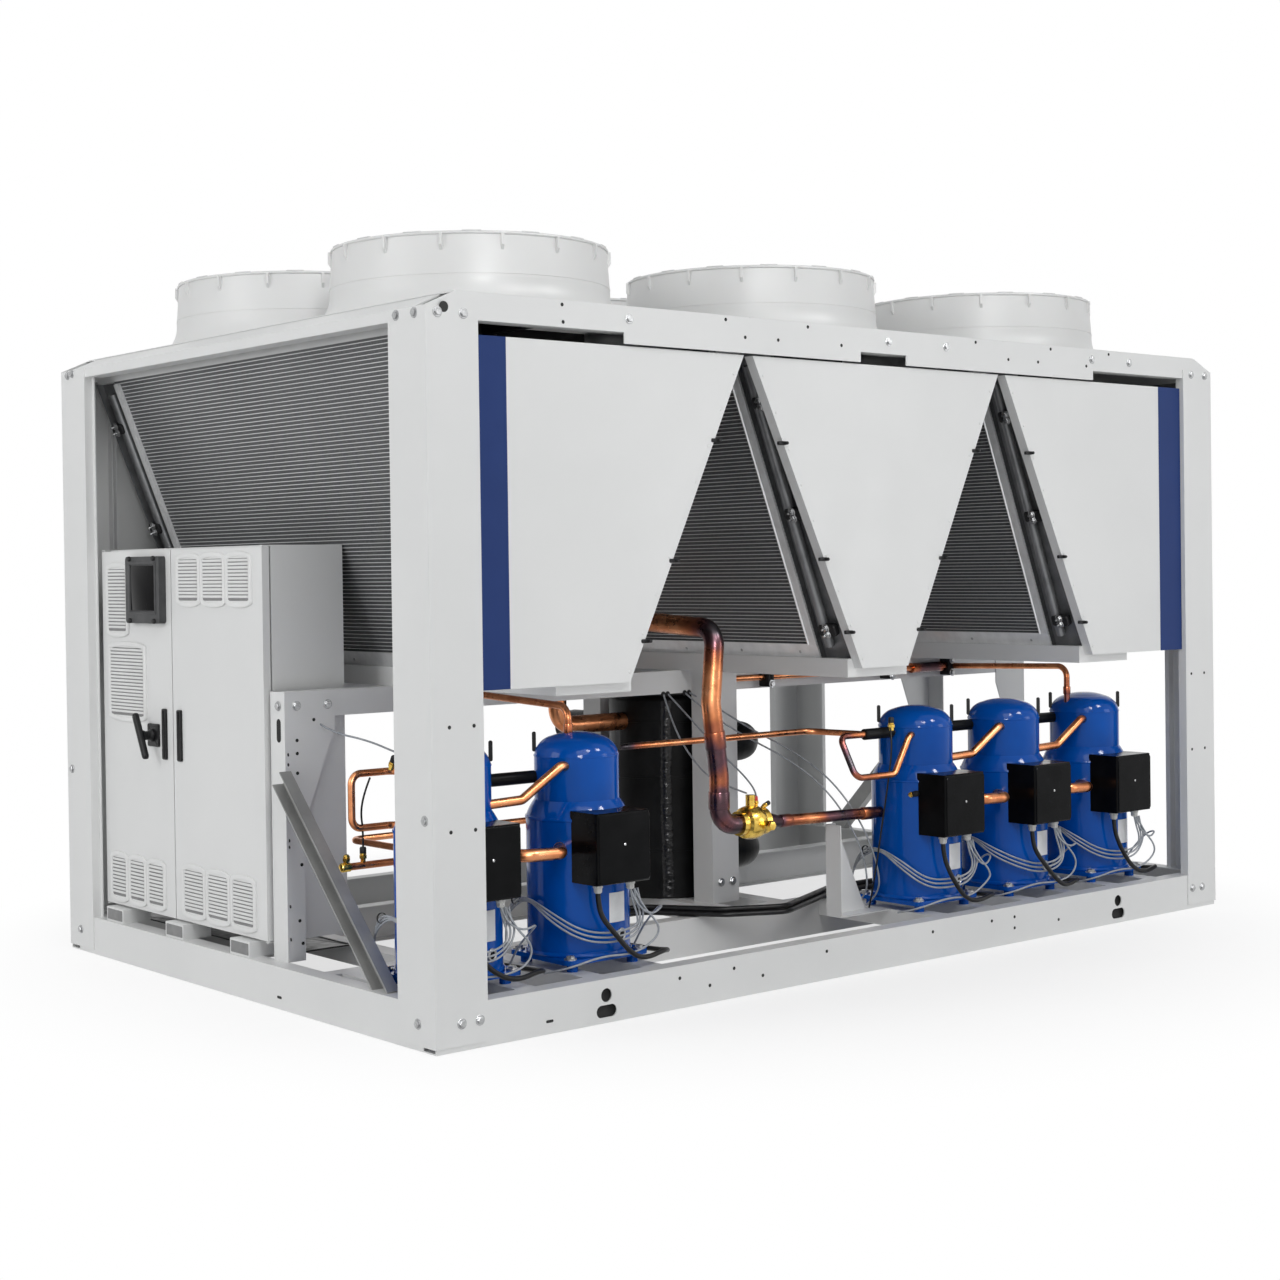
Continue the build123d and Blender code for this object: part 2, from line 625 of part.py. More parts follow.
# Control cabinet: a folded box on short feet, open at the front behind its doors, with lugs
# and pins that the doors hang on
left_hinge_y = CABINET_LEFT - DOOR_CLEARANCE - HINGE_INSET_Y
right_hinge_y = CABINET_RIGHT + DOOR_CLEARANCE + HINGE_INSET_Y
hinge_x = DOOR_FACE + HINGE_INSET_X
with BuildPart() as cabinet_shell:
    t = CABINET_SHEET
    rim = 20.0
    block((CABINET_FRONT, CABINET_RIGHT, CABINET_BOTTOM), (CABINET_BACK, CABINET_LEFT, CABINET_TOP))
    block(
        (CABINET_FRONT + t, CABINET_RIGHT + t, CABINET_BOTTOM + t),
        (CABINET_BACK - t, CABINET_LEFT - t, CABINET_TOP - t), mode=Mode.SUBTRACT,
    )
    block(
        (CABINET_FRONT - 1, CABINET_RIGHT + rim, CABINET_BOTTOM + rim),
        (CABINET_FRONT + t + 1, CABINET_LEFT - rim, CABINET_TOP - rim), mode=Mode.SUBTRACT,
    )
    for y in (left_hinge_y, right_hinge_y):
        for z0, z1, pin0, pin1 in (
            (CABINET_TOP - t, CABINET_TOP, DOOR_TOP - 8, CABINET_TOP - t),
            (CABINET_BOTTOM, CABINET_BOTTOM + t, CABINET_BOTTOM + t, DOOR_BOTTOM + 8),
        ):
            block((DOOR_FACE + 1, y - 7, z0), (CABINET_FRONT, y + 7, z1))
            with Locations((hinge_x, y, pin0)):
                Cylinder(3.5, pin1 - pin0, align=(Align.CENTER, Align.CENTER, Align.MIN))
    for y in (CABINET_RIGHT + 60, (CABINET_RIGHT + CABINET_LEFT) / 2 - 60, CABINET_LEFT - 180):
        block((-WEB_X + 10, y, RAIL_HEIGHT), (CABINET_FRONT + 40, y + 120, CABINET_BOTTOM))
write(cabinet_shell.part, "cabinet_shell")


def door_pan(y0, y1, hinge_y):
    """A door leaf: a shallow folded pan, open at the back, with holes for its two pins."""
    t = DOOR_SHEET
    block((DOOR_FACE, y0, DOOR_BOTTOM), (DOOR_FACE + DOOR_DEPTH, y1, DOOR_TOP))
    block(
        (DOOR_FACE + t, y0 + t, DOOR_BOTTOM + t),
        (DOOR_FACE + DOOR_DEPTH + 1, y1 - t, DOOR_TOP - t), mode=Mode.SUBTRACT,
    )
    with Locations((hinge_x, hinge_y, (DOOR_BOTTOM + DOOR_TOP) / 2)):
        Cylinder(4.3, DOOR_TOP - DOOR_BOTTOM + 2, mode=Mode.SUBTRACT)


with BuildPart() as cabinet_door_left:
    door_pan(DOOR_SPLIT + DOOR_GAP / 2, CABINET_LEFT - DOOR_CLEARANCE, left_hinge_y)
write(cabinet_door_left.part, "cabinet_door_left")

with BuildPart() as cabinet_door_right:
    door_pan(CABINET_RIGHT + DOOR_CLEARANCE, DOOR_SPLIT - DOOR_GAP / 2, right_hinge_y)
write(cabinet_door_right.part, "cabinet_door_right")

door_plane = Plane(origin=(DOOR_FACE, 0, 0), x_dir=(0, -1, 0), z_dir=(-1, 0, 0))


def vent_cover(left_y, right_y, z0, z1):
    """A moulded vent cover with a bowed lower edge and a recess for its louvres."""
    sag = 14.0
    field = 16.0
    low, high = -left_y, -right_y
    with BuildSketch(door_plane) as outline:
        with BuildLine():
            Polyline((low, z0 + sag), (low, z1), (high, z1), (high, z0 + sag))
            ThreePointArc((high, z0 + sag), ((low + high) / 2, z0), (low, z0 + sag))
        make_face()
    extrude(outline.sketch, amount=VENT_DEPTH)
    with BuildSketch(door_plane.offset(VENT_DEPTH)) as recess:
        with Locations(((low + high) / 2, (z0 + sag + z1) / 2 + 4)):
            Rectangle(high - low - 2 * field, z1 - z0 - sag - 2 * field)
    extrude(recess.sketch, amount=-VENT_RECESS, mode=Mode.SUBTRACT)


def vent_row(left_y, right_y, count, z0, z1):
    """A row of like covers side by side."""
    width = (left_y - right_y) / count
    for index in range(count):
        vent_cover(left_y - index * width - 1, left_y - (index + 1) * width + 1, z0, z1)


with BuildPart() as vent_covers_left:
    vent_cover(2015 - HALF_W, 1850 - HALF_W, 1098, 1353)
    vent_cover(2004 - HALF_W, 1731 - HALF_W, 812, 1085)
    vent_row(2015 - HALF_W, 1612 - HALF_W, 3, 190, 365)
write(vent_covers_left.part, "vent_covers_left")

with BuildPart() as vent_covers_right:
    vent_row(1508 - HALF_W, 1020 - HALF_W, 3, 1203, 1380)
    vent_row(1498 - HALF_W, 1022 - HALF_W, 3, 192, 372)
write(vent_covers_right.part, "vent_covers_right")

# Display: a framed housing on the left door with a sunk screen
with BuildPart() as display_panel:
    with BuildSketch(door_plane):
        with Locations((HALF_W - 1706, 1260)):
            RectangleRounded(240, 222, 12)
    extrude(amount=25)
    with BuildSketch(door_plane.offset(25)):
        with Locations((HALF_W - 1706, 1266)):
            RectangleRounded(196, 176, 6)
    extrude(amount=-4, mode=Mode.SUBTRACT)
write(display_panel.part, "display_panel")

# Door grips, and the plate of the main switch
with BuildPart() as door_fittings_left:
    with BuildSketch(door_plane):
        with Locations((HALF_W - 1604, 784)):
            RectangleRounded(28, 168, 6)
        with Locations((-SWITCH_Y, SWITCH_Z)):
            RectangleRounded(SWITCH_PLATE, SWITCH_PLATE, 6)
    extrude(amount=VENT_DEPTH)
write(door_fittings_left.part, "door_fittings_left")

with BuildPart() as door_grip_right:
    with BuildSketch(door_plane):
        with Locations((HALF_W - 1501, 784)):
            RectangleRounded(28, 168, 6)
    extrude(amount=VENT_DEPTH)
write(door_grip_right.part, "door_grip_right")

# Main switch lever: a round hub and a long grip, tilted as it stands when switched on
with BuildPart() as switch_lever:
    hub_base = VENT_DEPTH + 0.5
    with BuildSketch(door_plane.offset(hub_base)):
        with Locations((-SWITCH_Y, SWITCH_Z)):
            Circle(21)
    extrude(amount=SWITCH_REACH - LEVER_THICKNESS - hub_base)
    with BuildSketch(door_plane.offset(SWITCH_REACH - LEVER_THICKNESS)):
        with Locations(Location((-SWITCH_Y, SWITCH_Z, 0), (0, 0, 90 + LEVER_TILT))):
            SlotOverall(LEVER_LENGTH, LEVER_WIDTH)
    extrude(amount=LEVER_THICKNESS)
write(switch_lever.part, "switch_lever")

# Scroll compressors: a drawn shell, a narrower dome, and a square base on four feet
compressors = []
for number, x in enumerate(COMPRESSOR_X, start=1):
    with BuildPart() as compressor:
        with BuildSketch(Plane.XZ.offset(-COMPRESSOR_Y)):
            with BuildLine():
                Polyline(
                    (x, SHELL_BOTTOM), (x + SHELL_RADIUS, SHELL_BOTTOM),
                    (x + SHELL_RADIUS, SHELL_TOP),
                )
                ThreePointArc(
                    (x + SHELL_RADIUS, SHELL_TOP),
                    (x + SHELL_RADIUS - 9, SHELL_TOP + 22),
                    (x + DOME_RADIUS, DOME_FOOT),
                )
                Line((x + DOME_RADIUS, DOME_FOOT), (x + DOME_RADIUS, DOME_SHOULDER))
                ThreePointArc(
                    (x + DOME_RADIUS, DOME_SHOULDER),
                    (x + DOME_RADIUS - 17, DOME_SHOULDER + 36),
                    (x + DOME_RADIUS - 53, DOME_SHOULDER + 57),
                )
                ThreePointArc(
                    (x + DOME_RADIUS - 53, DOME_SHOULDER + 57),
                    (x + 42, COMPRESSOR_TOP - 3),
                    (x + 12, COMPRESSOR_TOP),
                )
                Polyline((x + 12, COMPRESSOR_TOP), (x, COMPRESSOR_TOP), (x, SHELL_BOTTOM))
            make_face()
        revolve(axis=Axis((x, COMPRESSOR_Y, 0), (0, 0, 1)))
        with BuildSketch(Plane.XY.offset(SHELL_BOTTOM - 14)):
            with Locations((x, COMPRESSOR_Y)):
                RectangleRounded(2 * FOOT_X + 84, 2 * FOOT_Y + 70, 24)
        extrude(amount=14)
        with Locations(*[
            (x + sx * FOOT_X, COMPRESSOR_Y + sy * FOOT_Y, RAIL_HEIGHT)
            for sx in (-1, 1) for sy in (-1, 1)
        ]):
            Cylinder(
                17, SHELL_BOTTOM - 14 - RAIL_HEIGHT,
                align=(Align.CENTER, Align.CENTER, Align.MIN),
            )
    write(compressor.part, f"compressor_{number}")
    compressors.append(compressor.part)


def cut_compressors():
    """Take the compressors out of what is being built, so that it ends on their shells."""
    for body in compressors:
        add(body, mode=Mode.SUBTRACT)


# Terminal boxes on the front of the compressor shells
with BuildPart() as terminal_boxes:
    box_front = COMPRESSOR_Y - SHELL_RADIUS - BOX_DEPTH
    for x in COMPRESSOR_X:
        with Locations((x - 10, box_front, BOX_BOTTOM)):
            Box(BOX_WIDTH, BOX_DEPTH + 50, BOX_HEIGHT, align=(Align.CENTER, Align.MIN, Align.MIN))
    front = terminal_boxes.faces().sort_by(Axis.Y)[:len(COMPRESSOR_X)]
    fillet([edge for face in front for edge in face.edges()], 9)
    cut_compressors()
write(terminal_boxes.part, "terminal_boxes")

# Insulated heat exchanger vessel between the two compressor groups
with BuildPart() as evaporator_vessel:
    with Locations((VESSEL_X, 0, RAIL_HEIGHT)):
        Cylinder(
            VESSEL_RADIUS, VESSEL_TOP - RAIL_HEIGHT, align=(Align.CENTER, Align.CENTER, Align.MIN),
        )
    fillet(evaporator_vessel.edges().group_by(Axis.Z)[-1], 25)
write(evaporator_vessel.part, "evaporator_vessel")


def cut_vessel():
    """Take the vessel out of a pipe that is being built."""
    with Locations((VESSEL_X, 0, RAIL_HEIGHT)):
        Cylinder(
            VESSEL_RADIUS, VESSEL_TOP - RAIL_HEIGHT,
            align=(Align.CENTER, Align.CENTER, Align.MIN), mode=Mode.SUBTRACT,
        )


# Insulated water pipes from the vessel to their couplings at the rear
with BuildPart() as water_pipes:
    for z in WATER_PIPE_Z:
        pipe(
            [(VESSEL_X + 150, 0, z), (WATER_PIPE_X, 0, z), (WATER_PIPE_X, WEB_Y - 60, z)],
            WATER_PIPE_RADIUS, 1.2 * WATER_PIPE_RADIUS,
        )
        with Locations(Location((WATER_PIPE_X, WEB_Y - 60, z), (-90, 0, 0))):
            Cylinder(60, 56, align=(Align.CENTER, Align.CENTER, Align.MIN))
            Cylinder(70, 14, align=(Align.CENTER, Align.CENTER, Align.MIN))
    cut_vessel()
write(water_pipes.part, "water_pipes")

# Main suction line: from the vessel up over the inner beam, and down with a slow S
with BuildPart() as suction_line:
    pipe(
        [
            (VESSEL_X - 150, 0, 760), (-490, 0, 760), (-490, 0, 1160),
            (-490, SUCTION_Y, 1112), (-512, SUCTION_Y, 875), (-481, SUCTION_Y, 640),
            (-483, SUCTION_Y, SUCTION_LOW_Z), (VALVE_X[0], SUCTION_Y, SUCTION_LOW_Z),
        ],
        SUCTION_RADIUS, 62,
    )
    cut_vessel()
write(suction_line.part, "suction_line")

# Suction valve: a turned brass body with a capped stem towards the front
valve_x = sum(VALVE_X) / 2
with BuildPart() as suction_valve:
    with BuildSketch(Plane.XZ.offset(-SUCTION_Y)):
        with BuildLine():
            Polyline(
                (VALVE_X[0], SUCTION_LOW_Z), (VALVE_X[0], SUCTION_LOW_Z + 40),
                (VALVE_X[0] + 22, SUCTION_LOW_Z + 40), (VALVE_X[0] + 28, SUCTION_LOW_Z + 50),
            )
            ThreePointArc(
                (VALVE_X[0] + 28, SUCTION_LOW_Z + 50),
                (valve_x, SUCTION_LOW_Z + VALVE_RADIUS),
                (VALVE_X[1] - 28, SUCTION_LOW_Z + 50),
            )
            Polyline(
                (VALVE_X[1] - 28, SUCTION_LOW_Z + 50), (VALVE_X[1] - 22, SUCTION_LOW_Z + 44),
                (VALVE_X[1], SUCTION_LOW_Z + 44), (VALVE_X[1], SUCTION_LOW_Z),
                (VALVE_X[0], SUCTION_LOW_Z),
            )
        make_face()
    revolve(axis=Axis((0, SUCTION_Y, SUCTION_LOW_Z), (1, 0, 0)))
    with Locations(Location((valve_x + 14, SUCTION_Y, SUCTION_LOW_Z - 6), (90, 0, 0))):
        Cylinder(15, VALVE_RADIUS + 16, align=(Align.CENTER, Align.CENTER, Align.MIN))
    with Locations((valve_x, SUCTION_Y, SUCTION_LOW_Z)):
        Cylinder(16, VALVE_RADIUS + 34, align=(Align.CENTER, Align.CENTER, Align.MIN))
write(suction_valve.part, "suction_valve")

# Suction branches: the run from the valve to the right group, and between neighbours
neighbours = [(COMPRESSOR_X[i], COMPRESSOR_X[i + 1]) for i in (0, 2, 3)]
with BuildPart() as suction_branches:
    with BuildSketch(Plane.YZ.offset(VALVE_X[1])):
        with Locations((SUCTION_Y, SUCTION_LOW_Z)):
            Circle(SUCTION_RADIUS)
    with BuildSketch(Plane.YZ.offset(VALVE_X[1] + 70)):
        with Locations((SUCTION_Y, SUCTION_LOW_Z - 8)):
            Circle(BRANCH_RADIUS)
    loft()
    pipe(
        [
            (VALVE_X[1] + 70, SUCTION_Y, SUCTION_LOW_Z - 8),
            (COMPRESSOR_X[2] - 100, SUCTION_Y, SUCTION_LOW_Z - 20),
        ],
        BRANCH_RADIUS, 0,
    )
    for left_x, right_x in neighbours:
        pipe(
            [
                (right_x - 92, COMPRESSOR_Y - 26, 488), (right_x - 190, -1016.5, 488),
                (left_x + 172, -1016.5, 491), (left_x + 88, COMPRESSOR_Y - 60, 491),
            ],
            BRANCH_RADIUS, 40,
        )
    cut_compressors()
write(suction_branches.part, "suction_branches")

# Small copper lines: discharge tubes, the liquid line along the inner beam and its droppers
with BuildPart() as copper_lines:
    for left_x, right_x in neighbours:
        pipe(
            [
                (right_x - 40, -900, 712), (right_x - 122, -936.5, 732),
                (right_x - 269, -936.5, 642), (left_x + 80, -936.5, 638),
            ],
            DISCHARGE_RADIUS, 30,
        )
    line_y = -MID_FACE_Y - DRIER_RADIUS - 1
    pipe(
        [
            (58, line_y, 700), (58, line_y, 908), (1262, line_y, 908),
            (1262, COMPRESSOR_Y, 922), (1262, COMPRESSOR_Y, 740),
        ],
        LIQUID_RADIUS, 40,
    )
    pipe(
        [(-1118, COMPRESSOR_Y, 740), (-1118, COMPRESSOR_Y, 897), (-1118, line_y, 922)],
        LIQUID_RADIUS, 40,
    )
    pipe(
        [
            (COMPRESSOR_X[1] + 70, -800, 715), (-652, -526.5, 725),
            (224, -526.5, 725), (COMPRESSOR_X[2] - 70, -790, 715),
        ],
        LIQUID_RADIUS, 60,
    )
    with Locations(Location((DRIER_X[0], line_y, 908), (0, 90, 0))):
        Cylinder(
            DRIER_RADIUS, DRIER_X[1] - DRIER_X[0],
            align=(Align.CENTER, Align.CENTER, Align.MIN),
        )
    pipe(
        [
            (COMPRESSOR_X[2] - 40, -900, 712), (COMPRESSOR_X[2] - 122, -940, 732),
            (COMPRESSOR_X[2] - 200, -940, 600), (34, -940, 600),
            (34, -866, 735), (COMPRESSOR_X[2] - 60, -866, 735),
        ],
        LOOP_RADIUS, 30,
    )
    pipe(
        [
            (COMPRESSOR_X[0] + 40, COMPRESSOR_Y + 70, 700), (-1524, -526.5, 713),
            (-1677, -526.5, 713), (-1677, -526.5, 551),
            (-1524, -526.5, 551), (COMPRESSOR_X[0] + 40, COMPRESSOR_Y + 70, 545),
        ],
        LOOP_RADIUS, 32,
    )
    pipe(
        [(-1703, -526.5, 440), (-1350, -526.5, 440), (-1350, 0, 440), (VESSEL_X - 150, 0, 440)],
        LOOP_RADIUS, 40,
    )
    cut_compressors()
    cut_vessel()
write(copper_lines.part, "copper_lines")

# Wiring: heavy black cables tied down along the base from the left group to the right
with BuildPart() as wiring:
    for offset, z in ((0, 138), (24, 136), (12, 155)):
        pipe(
            [
                (-900, -400 + offset, z), (-420, -360 + offset, z), (-250, -600 + offset, z),
                (-60, -700 + offset, z), (330, -520 + offset, z), (1300, -490 + offset, z),
            ],
            9, 80,
        )
write(wiring.part, "wiring")
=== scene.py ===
"""The looks of an air-cooled water chiller, built over its fixed CAD frame.

Metres, in the frame's own axes: +X runs away from the control cabinet, +Y to the rear, +Z up.
"""

import math

import bmesh
import bpy
import numpy as np
from mathutils import Matrix, Vector


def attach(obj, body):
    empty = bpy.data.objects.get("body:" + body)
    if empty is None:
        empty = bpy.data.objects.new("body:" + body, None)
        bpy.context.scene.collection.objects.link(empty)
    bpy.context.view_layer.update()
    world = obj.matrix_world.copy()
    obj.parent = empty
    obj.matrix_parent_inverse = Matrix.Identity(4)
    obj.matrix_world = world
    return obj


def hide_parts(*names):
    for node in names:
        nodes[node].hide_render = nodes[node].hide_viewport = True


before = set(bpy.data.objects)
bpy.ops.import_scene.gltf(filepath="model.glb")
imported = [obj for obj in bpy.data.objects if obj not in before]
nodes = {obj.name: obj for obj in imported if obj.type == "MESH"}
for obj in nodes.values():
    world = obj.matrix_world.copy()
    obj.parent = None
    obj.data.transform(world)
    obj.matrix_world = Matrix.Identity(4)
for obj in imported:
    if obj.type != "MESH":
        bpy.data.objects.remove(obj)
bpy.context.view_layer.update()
scene = bpy.context.scene


# Studio: a pale seamless floor, a white surround, three soft lamps, and three small ones that
# show only as highlights. The camera looks through a long lens from near the front left corner,
# at half the machine's height.
yaw, pitch, roll = 0.699, -0.0132, -0.0136
forward = Vector((
    math.cos(pitch) * math.sin(yaw), math.cos(pitch) * math.cos(yaw), math.sin(pitch),
))
level = Vector((math.cos(yaw), -math.sin(yaw), 0))
upward = level.cross(forward)
side = math.cos(roll) * level + math.sin(roll) * upward
head = math.cos(roll) * upward - math.sin(roll) * level
stand = (-4.9665, -5.7303, 1.3076)
lens = bpy.data.cameras.new("camera")
lens.lens = 58.185
lens.shift_x, lens.shift_y = 0.0078, -0.0341
camera = bpy.data.objects.new("camera", lens)
camera.matrix_world = Matrix.Translation(stand) @ Matrix((side, head, -forward)).transposed().to_4x4()
scene.collection.objects.link(camera)
scene.camera = camera
scene.view_settings.view_transform = "Standard"


def lamp(name, place, target, size, watts):
    """A square area lamp at a place, turned towards a target."""
    light = bpy.data.lights.new(name, "AREA")
    light.size, light.energy = size, watts
    holder = bpy.data.objects.new(name, light)
    holder.location = place
    holder.rotation_euler = (Vector(target) - Vector(place)).to_track_quat("-Z", "Y").to_euler()
    scene.collection.objects.link(holder)
    return holder


lamp("key", (-3.0, -6.5, 6.0), (0.0, -1.0, 1.0), 4.0, 190)
lamp("left", (-7.5, 0.2, 3.2), (-1.8, 0.0, 1.1), 3.0, 116)
lamp("right", (4.6, -6.4, 1.8), (0.8, -1.0, 0.6), 2.4, 72)
for glint in (
    lamp("glint_left", (-4.2, -6.8, 2.8), (0.4, -0.8, 0.9), 1.5, 300),
    lamp("glint_right", (2.2, -5.6, 5.4), (0.6, -0.8, 0.8), 1.2, 190),
    lamp("glint_top", (-1.0, -5.4, 5.0), (0.4, -0.8, 0.9), 0.9, 100),
):
    glint.visible_diffuse = False


def reckoned(tree, operation, *terms):
    """The outcome of an operation on terms that are numbers or other nodes' outcomes."""
    node = tree.nodes.new("ShaderNodeMath")
    node.operation = operation
    for socket, term in zip(node.inputs, terms):
        if isinstance(term, float):
            socket.default_value = term
        else:
            tree.links.new(term, socket)
    return node.outputs[0]


def white_seen(tree):
    """A factor of 1 where the camera, a mirror or glass looks, and 0 for diffuse light."""
    path = tree.nodes.new("ShaderNodeLightPath")
    either = path.outputs["Is Camera Ray"]
    for other in ("Is Glossy Ray", "Is Transmission Ray"):
        either = reckoned(tree, "MAXIMUM", either, path.outputs[other])
    return either


def mixed(tree, factor, first, second):
    """Two shaders mixed by a factor."""
    mix = tree.nodes.new("ShaderNodeMixShader")
    tree.links.new(factor, mix.inputs[0])
    tree.links.new(first.outputs[0], mix.inputs[1])
    tree.links.new(second.outputs[0], mix.inputs[2])
    return mix


world = bpy.data.worlds.new("surround")
world.use_nodes = True
scene.world = world
sky_tree = world.node_tree


def dialled(node, sockets):
    """A node with the given values on its sockets."""
    for socket, value in sockets.items():
        node.inputs[socket].default_value = value
    return node


def shader(name, sockets):
    """A material whose surface has the given values on its sockets."""
    material = bpy.data.materials.new(name)
    material.use_nodes = True
    dialled(material.node_tree.nodes["Principled BSDF"], sockets)
    return material


def grain(material, scale, detail=3.0, stretch=(1, 1, 1)):
    """Noise fixed to the object, finer with a larger scale, stretched along the axes."""
    tree = material.node_tree
    place = tree.nodes.new("ShaderNodeTexCoord")
    along = dialled(tree.nodes.new("ShaderNodeMapping"), {"Scale": stretch})
    noise = dialled(tree.nodes.new("ShaderNodeTexNoise"), {"Scale": scale, "Detail": detail})
    tree.links.new(place.outputs["Object"], along.inputs["Vector"])
    tree.links.new(along.outputs["Vector"], noise.inputs["Vector"])
    return noise.outputs["Fac"]


def coloured(material, factor, stops):
    """Colour the surface along a ramp of (position, colour) stops."""
    tree = material.node_tree
    ramp = tree.nodes.new("ShaderNodeValToRGB")
    marks = ramp.color_ramp.elements
    while len(marks) < len(stops):
        marks.new(0.5)
    for mark, (position, colour) in zip(marks, stops):
        mark.position, mark.color = position, (*colour, 1)
    tree.links.new(factor, ramp.inputs["Fac"])
    tree.links.new(ramp.outputs["Color"], tree.nodes["Principled BSDF"].inputs["Base Color"])


white = (1, 1, 1, 1)
sky = dialled(sky_tree.nodes["Background"], {"Color": (0.97, 0.985, 1.0, 1), "Strength": 0.43})
white_sky = dialled(sky_tree.nodes.new("ShaderNodeBackground"), {"Color": white})
sky_tree.links.new(
    mixed(sky_tree, white_seen(sky_tree), sky, white_sky).outputs[0],
    sky_tree.nodes["World Output"].inputs["Surface"],
)

floor_finish = shader("floor", {"Roughness": 0.9, "Specular IOR Level": 0.0})
coloured(floor_finish, grain(floor_finish, 3.0), [(0.3, (0.93, 0.93, 0.93)), (0.7, (0.96, 0.96, 0.96))])
floor_tree = floor_finish.node_tree
glow = dialled(floor_tree.nodes.new("ShaderNodeEmission"), {"Color": white})
lit = floor_tree.nodes["Principled BSDF"]
centre_of = floor_tree.nodes.new("ShaderNodeVectorMath")
centre_of.operation = "LENGTH"
floor_tree.links.new(floor_tree.nodes.new("ShaderNodeTexCoord").outputs["Object"], centre_of.inputs[0])
fade = dialled(
    floor_tree.nodes.new("ShaderNodeMapRange"),
    {"From Min": 1.3, "From Max": 2.7, "To Min": 0.68, "To Max": 1.0},
)
fade.interpolation_type = "SMOOTHSTEP"
floor_tree.links.new(centre_of.outputs["Value"], fade.inputs["Value"])
seen = reckoned(floor_tree, "MULTIPLY", fade.outputs["Result"], white_seen(floor_tree))
floor_tree.links.new(
    mixed(floor_tree, seen, lit, glow).outputs[0],
    floor_tree.nodes["Material Output"].inputs["Surface"],
)
reach, floor_z = 30, -0.002
floor_mesh = bpy.data.meshes.new("floor")
floor_mesh.from_pydata(
    [(x * reach, y * reach, floor_z) for x, y in ((-1, -1), (1, -1), (1, 1), (-1, 1))],
    [], [(0, 1, 2, 3)],
)
floor_mesh.materials.append(floor_finish)
floor = bpy.data.objects.new("floor", floor_mesh)
scene.collection.objects.link(floor)


# Frame: folded steel sheet under a satin powder coat, held by washer-headed bolts at the posts
# and beams. Its punched holes for pipes and panels are near-black discs, painted shade in the open
# holes, and near-black sheets behind the lifting holes are painted shade in the hollow rails.
# A shape in these sections is an array of points with a list of faces.
def ranged(material, factor, low, high):
    """Vary the surface's roughness from low to high with a factor."""
    tree = material.node_tree
    spread = dialled(
        tree.nodes.new("ShaderNodeMapRange"),
        {"From Min": 0.3, "From Max": 0.7, "To Min": low, "To Max": high},
    )
    tree.links.new(factor, spread.inputs["Value"])
    tree.links.new(spread.outputs["Result"], tree.nodes["Principled BSDF"].inputs["Roughness"])


def relief(material, height, distance):
    """Bump the surface by a height map, distance metres from its lowest to its highest."""
    tree = material.node_tree
    bump = dialled(tree.nodes.new("ShaderNodeBump"), {"Distance": distance})
    tree.links.new(height, bump.inputs["Height"])
    tree.links.new(bump.outputs["Normal"], tree.nodes["Principled BSDF"].inputs["Normal"])


def finish(name, sockets, colour, gloss=None, bump=None):
    """A material whose colour, roughness and relief each follow a grain of their own.

    Each starts with the grain's scale, detail and stretch. A colour and a gloss then give their
    low and high values, and a bump its height in metres.
    """
    material = shader(name, sockets)
    size, low, high = colour
    coloured(material, grain(material, *size), [(0.3, low), (0.7, high)])
    if gloss:
        size, low, high = gloss
        ranged(material, grain(material, *size), low, high)
    if bump:
        size, height = bump
        relief(material, grain(material, *size), height)
    return material


def finish_nodes(material, *names):
    """Give CAD nodes a finish."""
    for name in names:
        for holder in nodes[name].material_slots:
            holder.material = material


paint = shader(
    "powder_coat", {"Metallic": 0.0, "IOR": 1.48, "Coat Weight": 0.06, "Coat Roughness": 0.3},
)
coloured(paint, grain(paint, 1.6, 4.0), [(0.25, (0.700, 0.705, 0.700)), (0.75, (0.745, 0.748, 0.742))])
ranged(paint, grain(paint, 7.0, 4.0), 0.34, 0.46)
relief(paint, grain(paint, 520.0, 2.0), 0.00012)
finish_nodes(
    paint, "base_rail_front", "base_rail_rear", "base_rail_left", "base_rail_right",
    "base_inner_beams", "base_cross_beams", "post_front_left", "post_front_right",
    "post_rear_left", "post_rear_right", "top_beam_front", "top_beam_rear", "top_beam_left",
    "top_beam_right", "fan_deck", "mid_beams", "centre_columns", "end_legs",
    "side_panel_front_left", "side_panel_front_middle", "side_panel_front_right",
    "side_panel_rear_left", "side_panel_rear_middle", "side_panel_rear_right",
    "cabinet_shell", "cabinet_door_left", "cabinet_door_right", "coil_supports",
)

zinc = finish(
    "zinc_plate", {"Metallic": 1.0}, ((90.0, 4.0), (0.30, 0.305, 0.31), (0.48, 0.485, 0.49)),
    ((260.0,), 0.26, 0.42), ((700.0,), 0.00005),
)
brace_paint = finish(
    "brace_paint", {"Metallic": 0.3}, ((9.0, 4.0), (0.27, 0.27, 0.265), (0.36, 0.36, 0.355)),
    ((40.0,), 0.38, 0.50),
)
finish_nodes(brace_paint, "end_braces")

# Near black: painted shade, standing in for the dark inside open holes, slots and hollow rails.
hole_shadow = finish(
    "punched_hole", {"Roughness": 0.9}, ((40.0,), (0.006, 0.006, 0.006), (0.012, 0.012, 0.012)),
)


def together(*shapes):
    """Several shapes as one."""
    points, faces, start = [], [], 0
    for shape_points, shape_faces in shapes:
        points.append(np.asarray(shape_points, float))
        faces += [tuple(int(i) + start for i in face) for face in shape_faces]
        start += len(shape_points)
    return np.concatenate(points), faces


def strips(rows, columns, wrap=True):
    """Quads between successive rows of points, each row closed on itself if it wraps."""
    row, column = np.meshgrid(
        np.arange(rows - 1), np.arange(columns if wrap else columns - 1), indexing="ij",
    )
    here, beside = row * columns + column, row * columns + (column + 1) % columns
    return np.stack((here, beside, beside + columns, here + columns), -1).reshape(-1, 4).tolist()


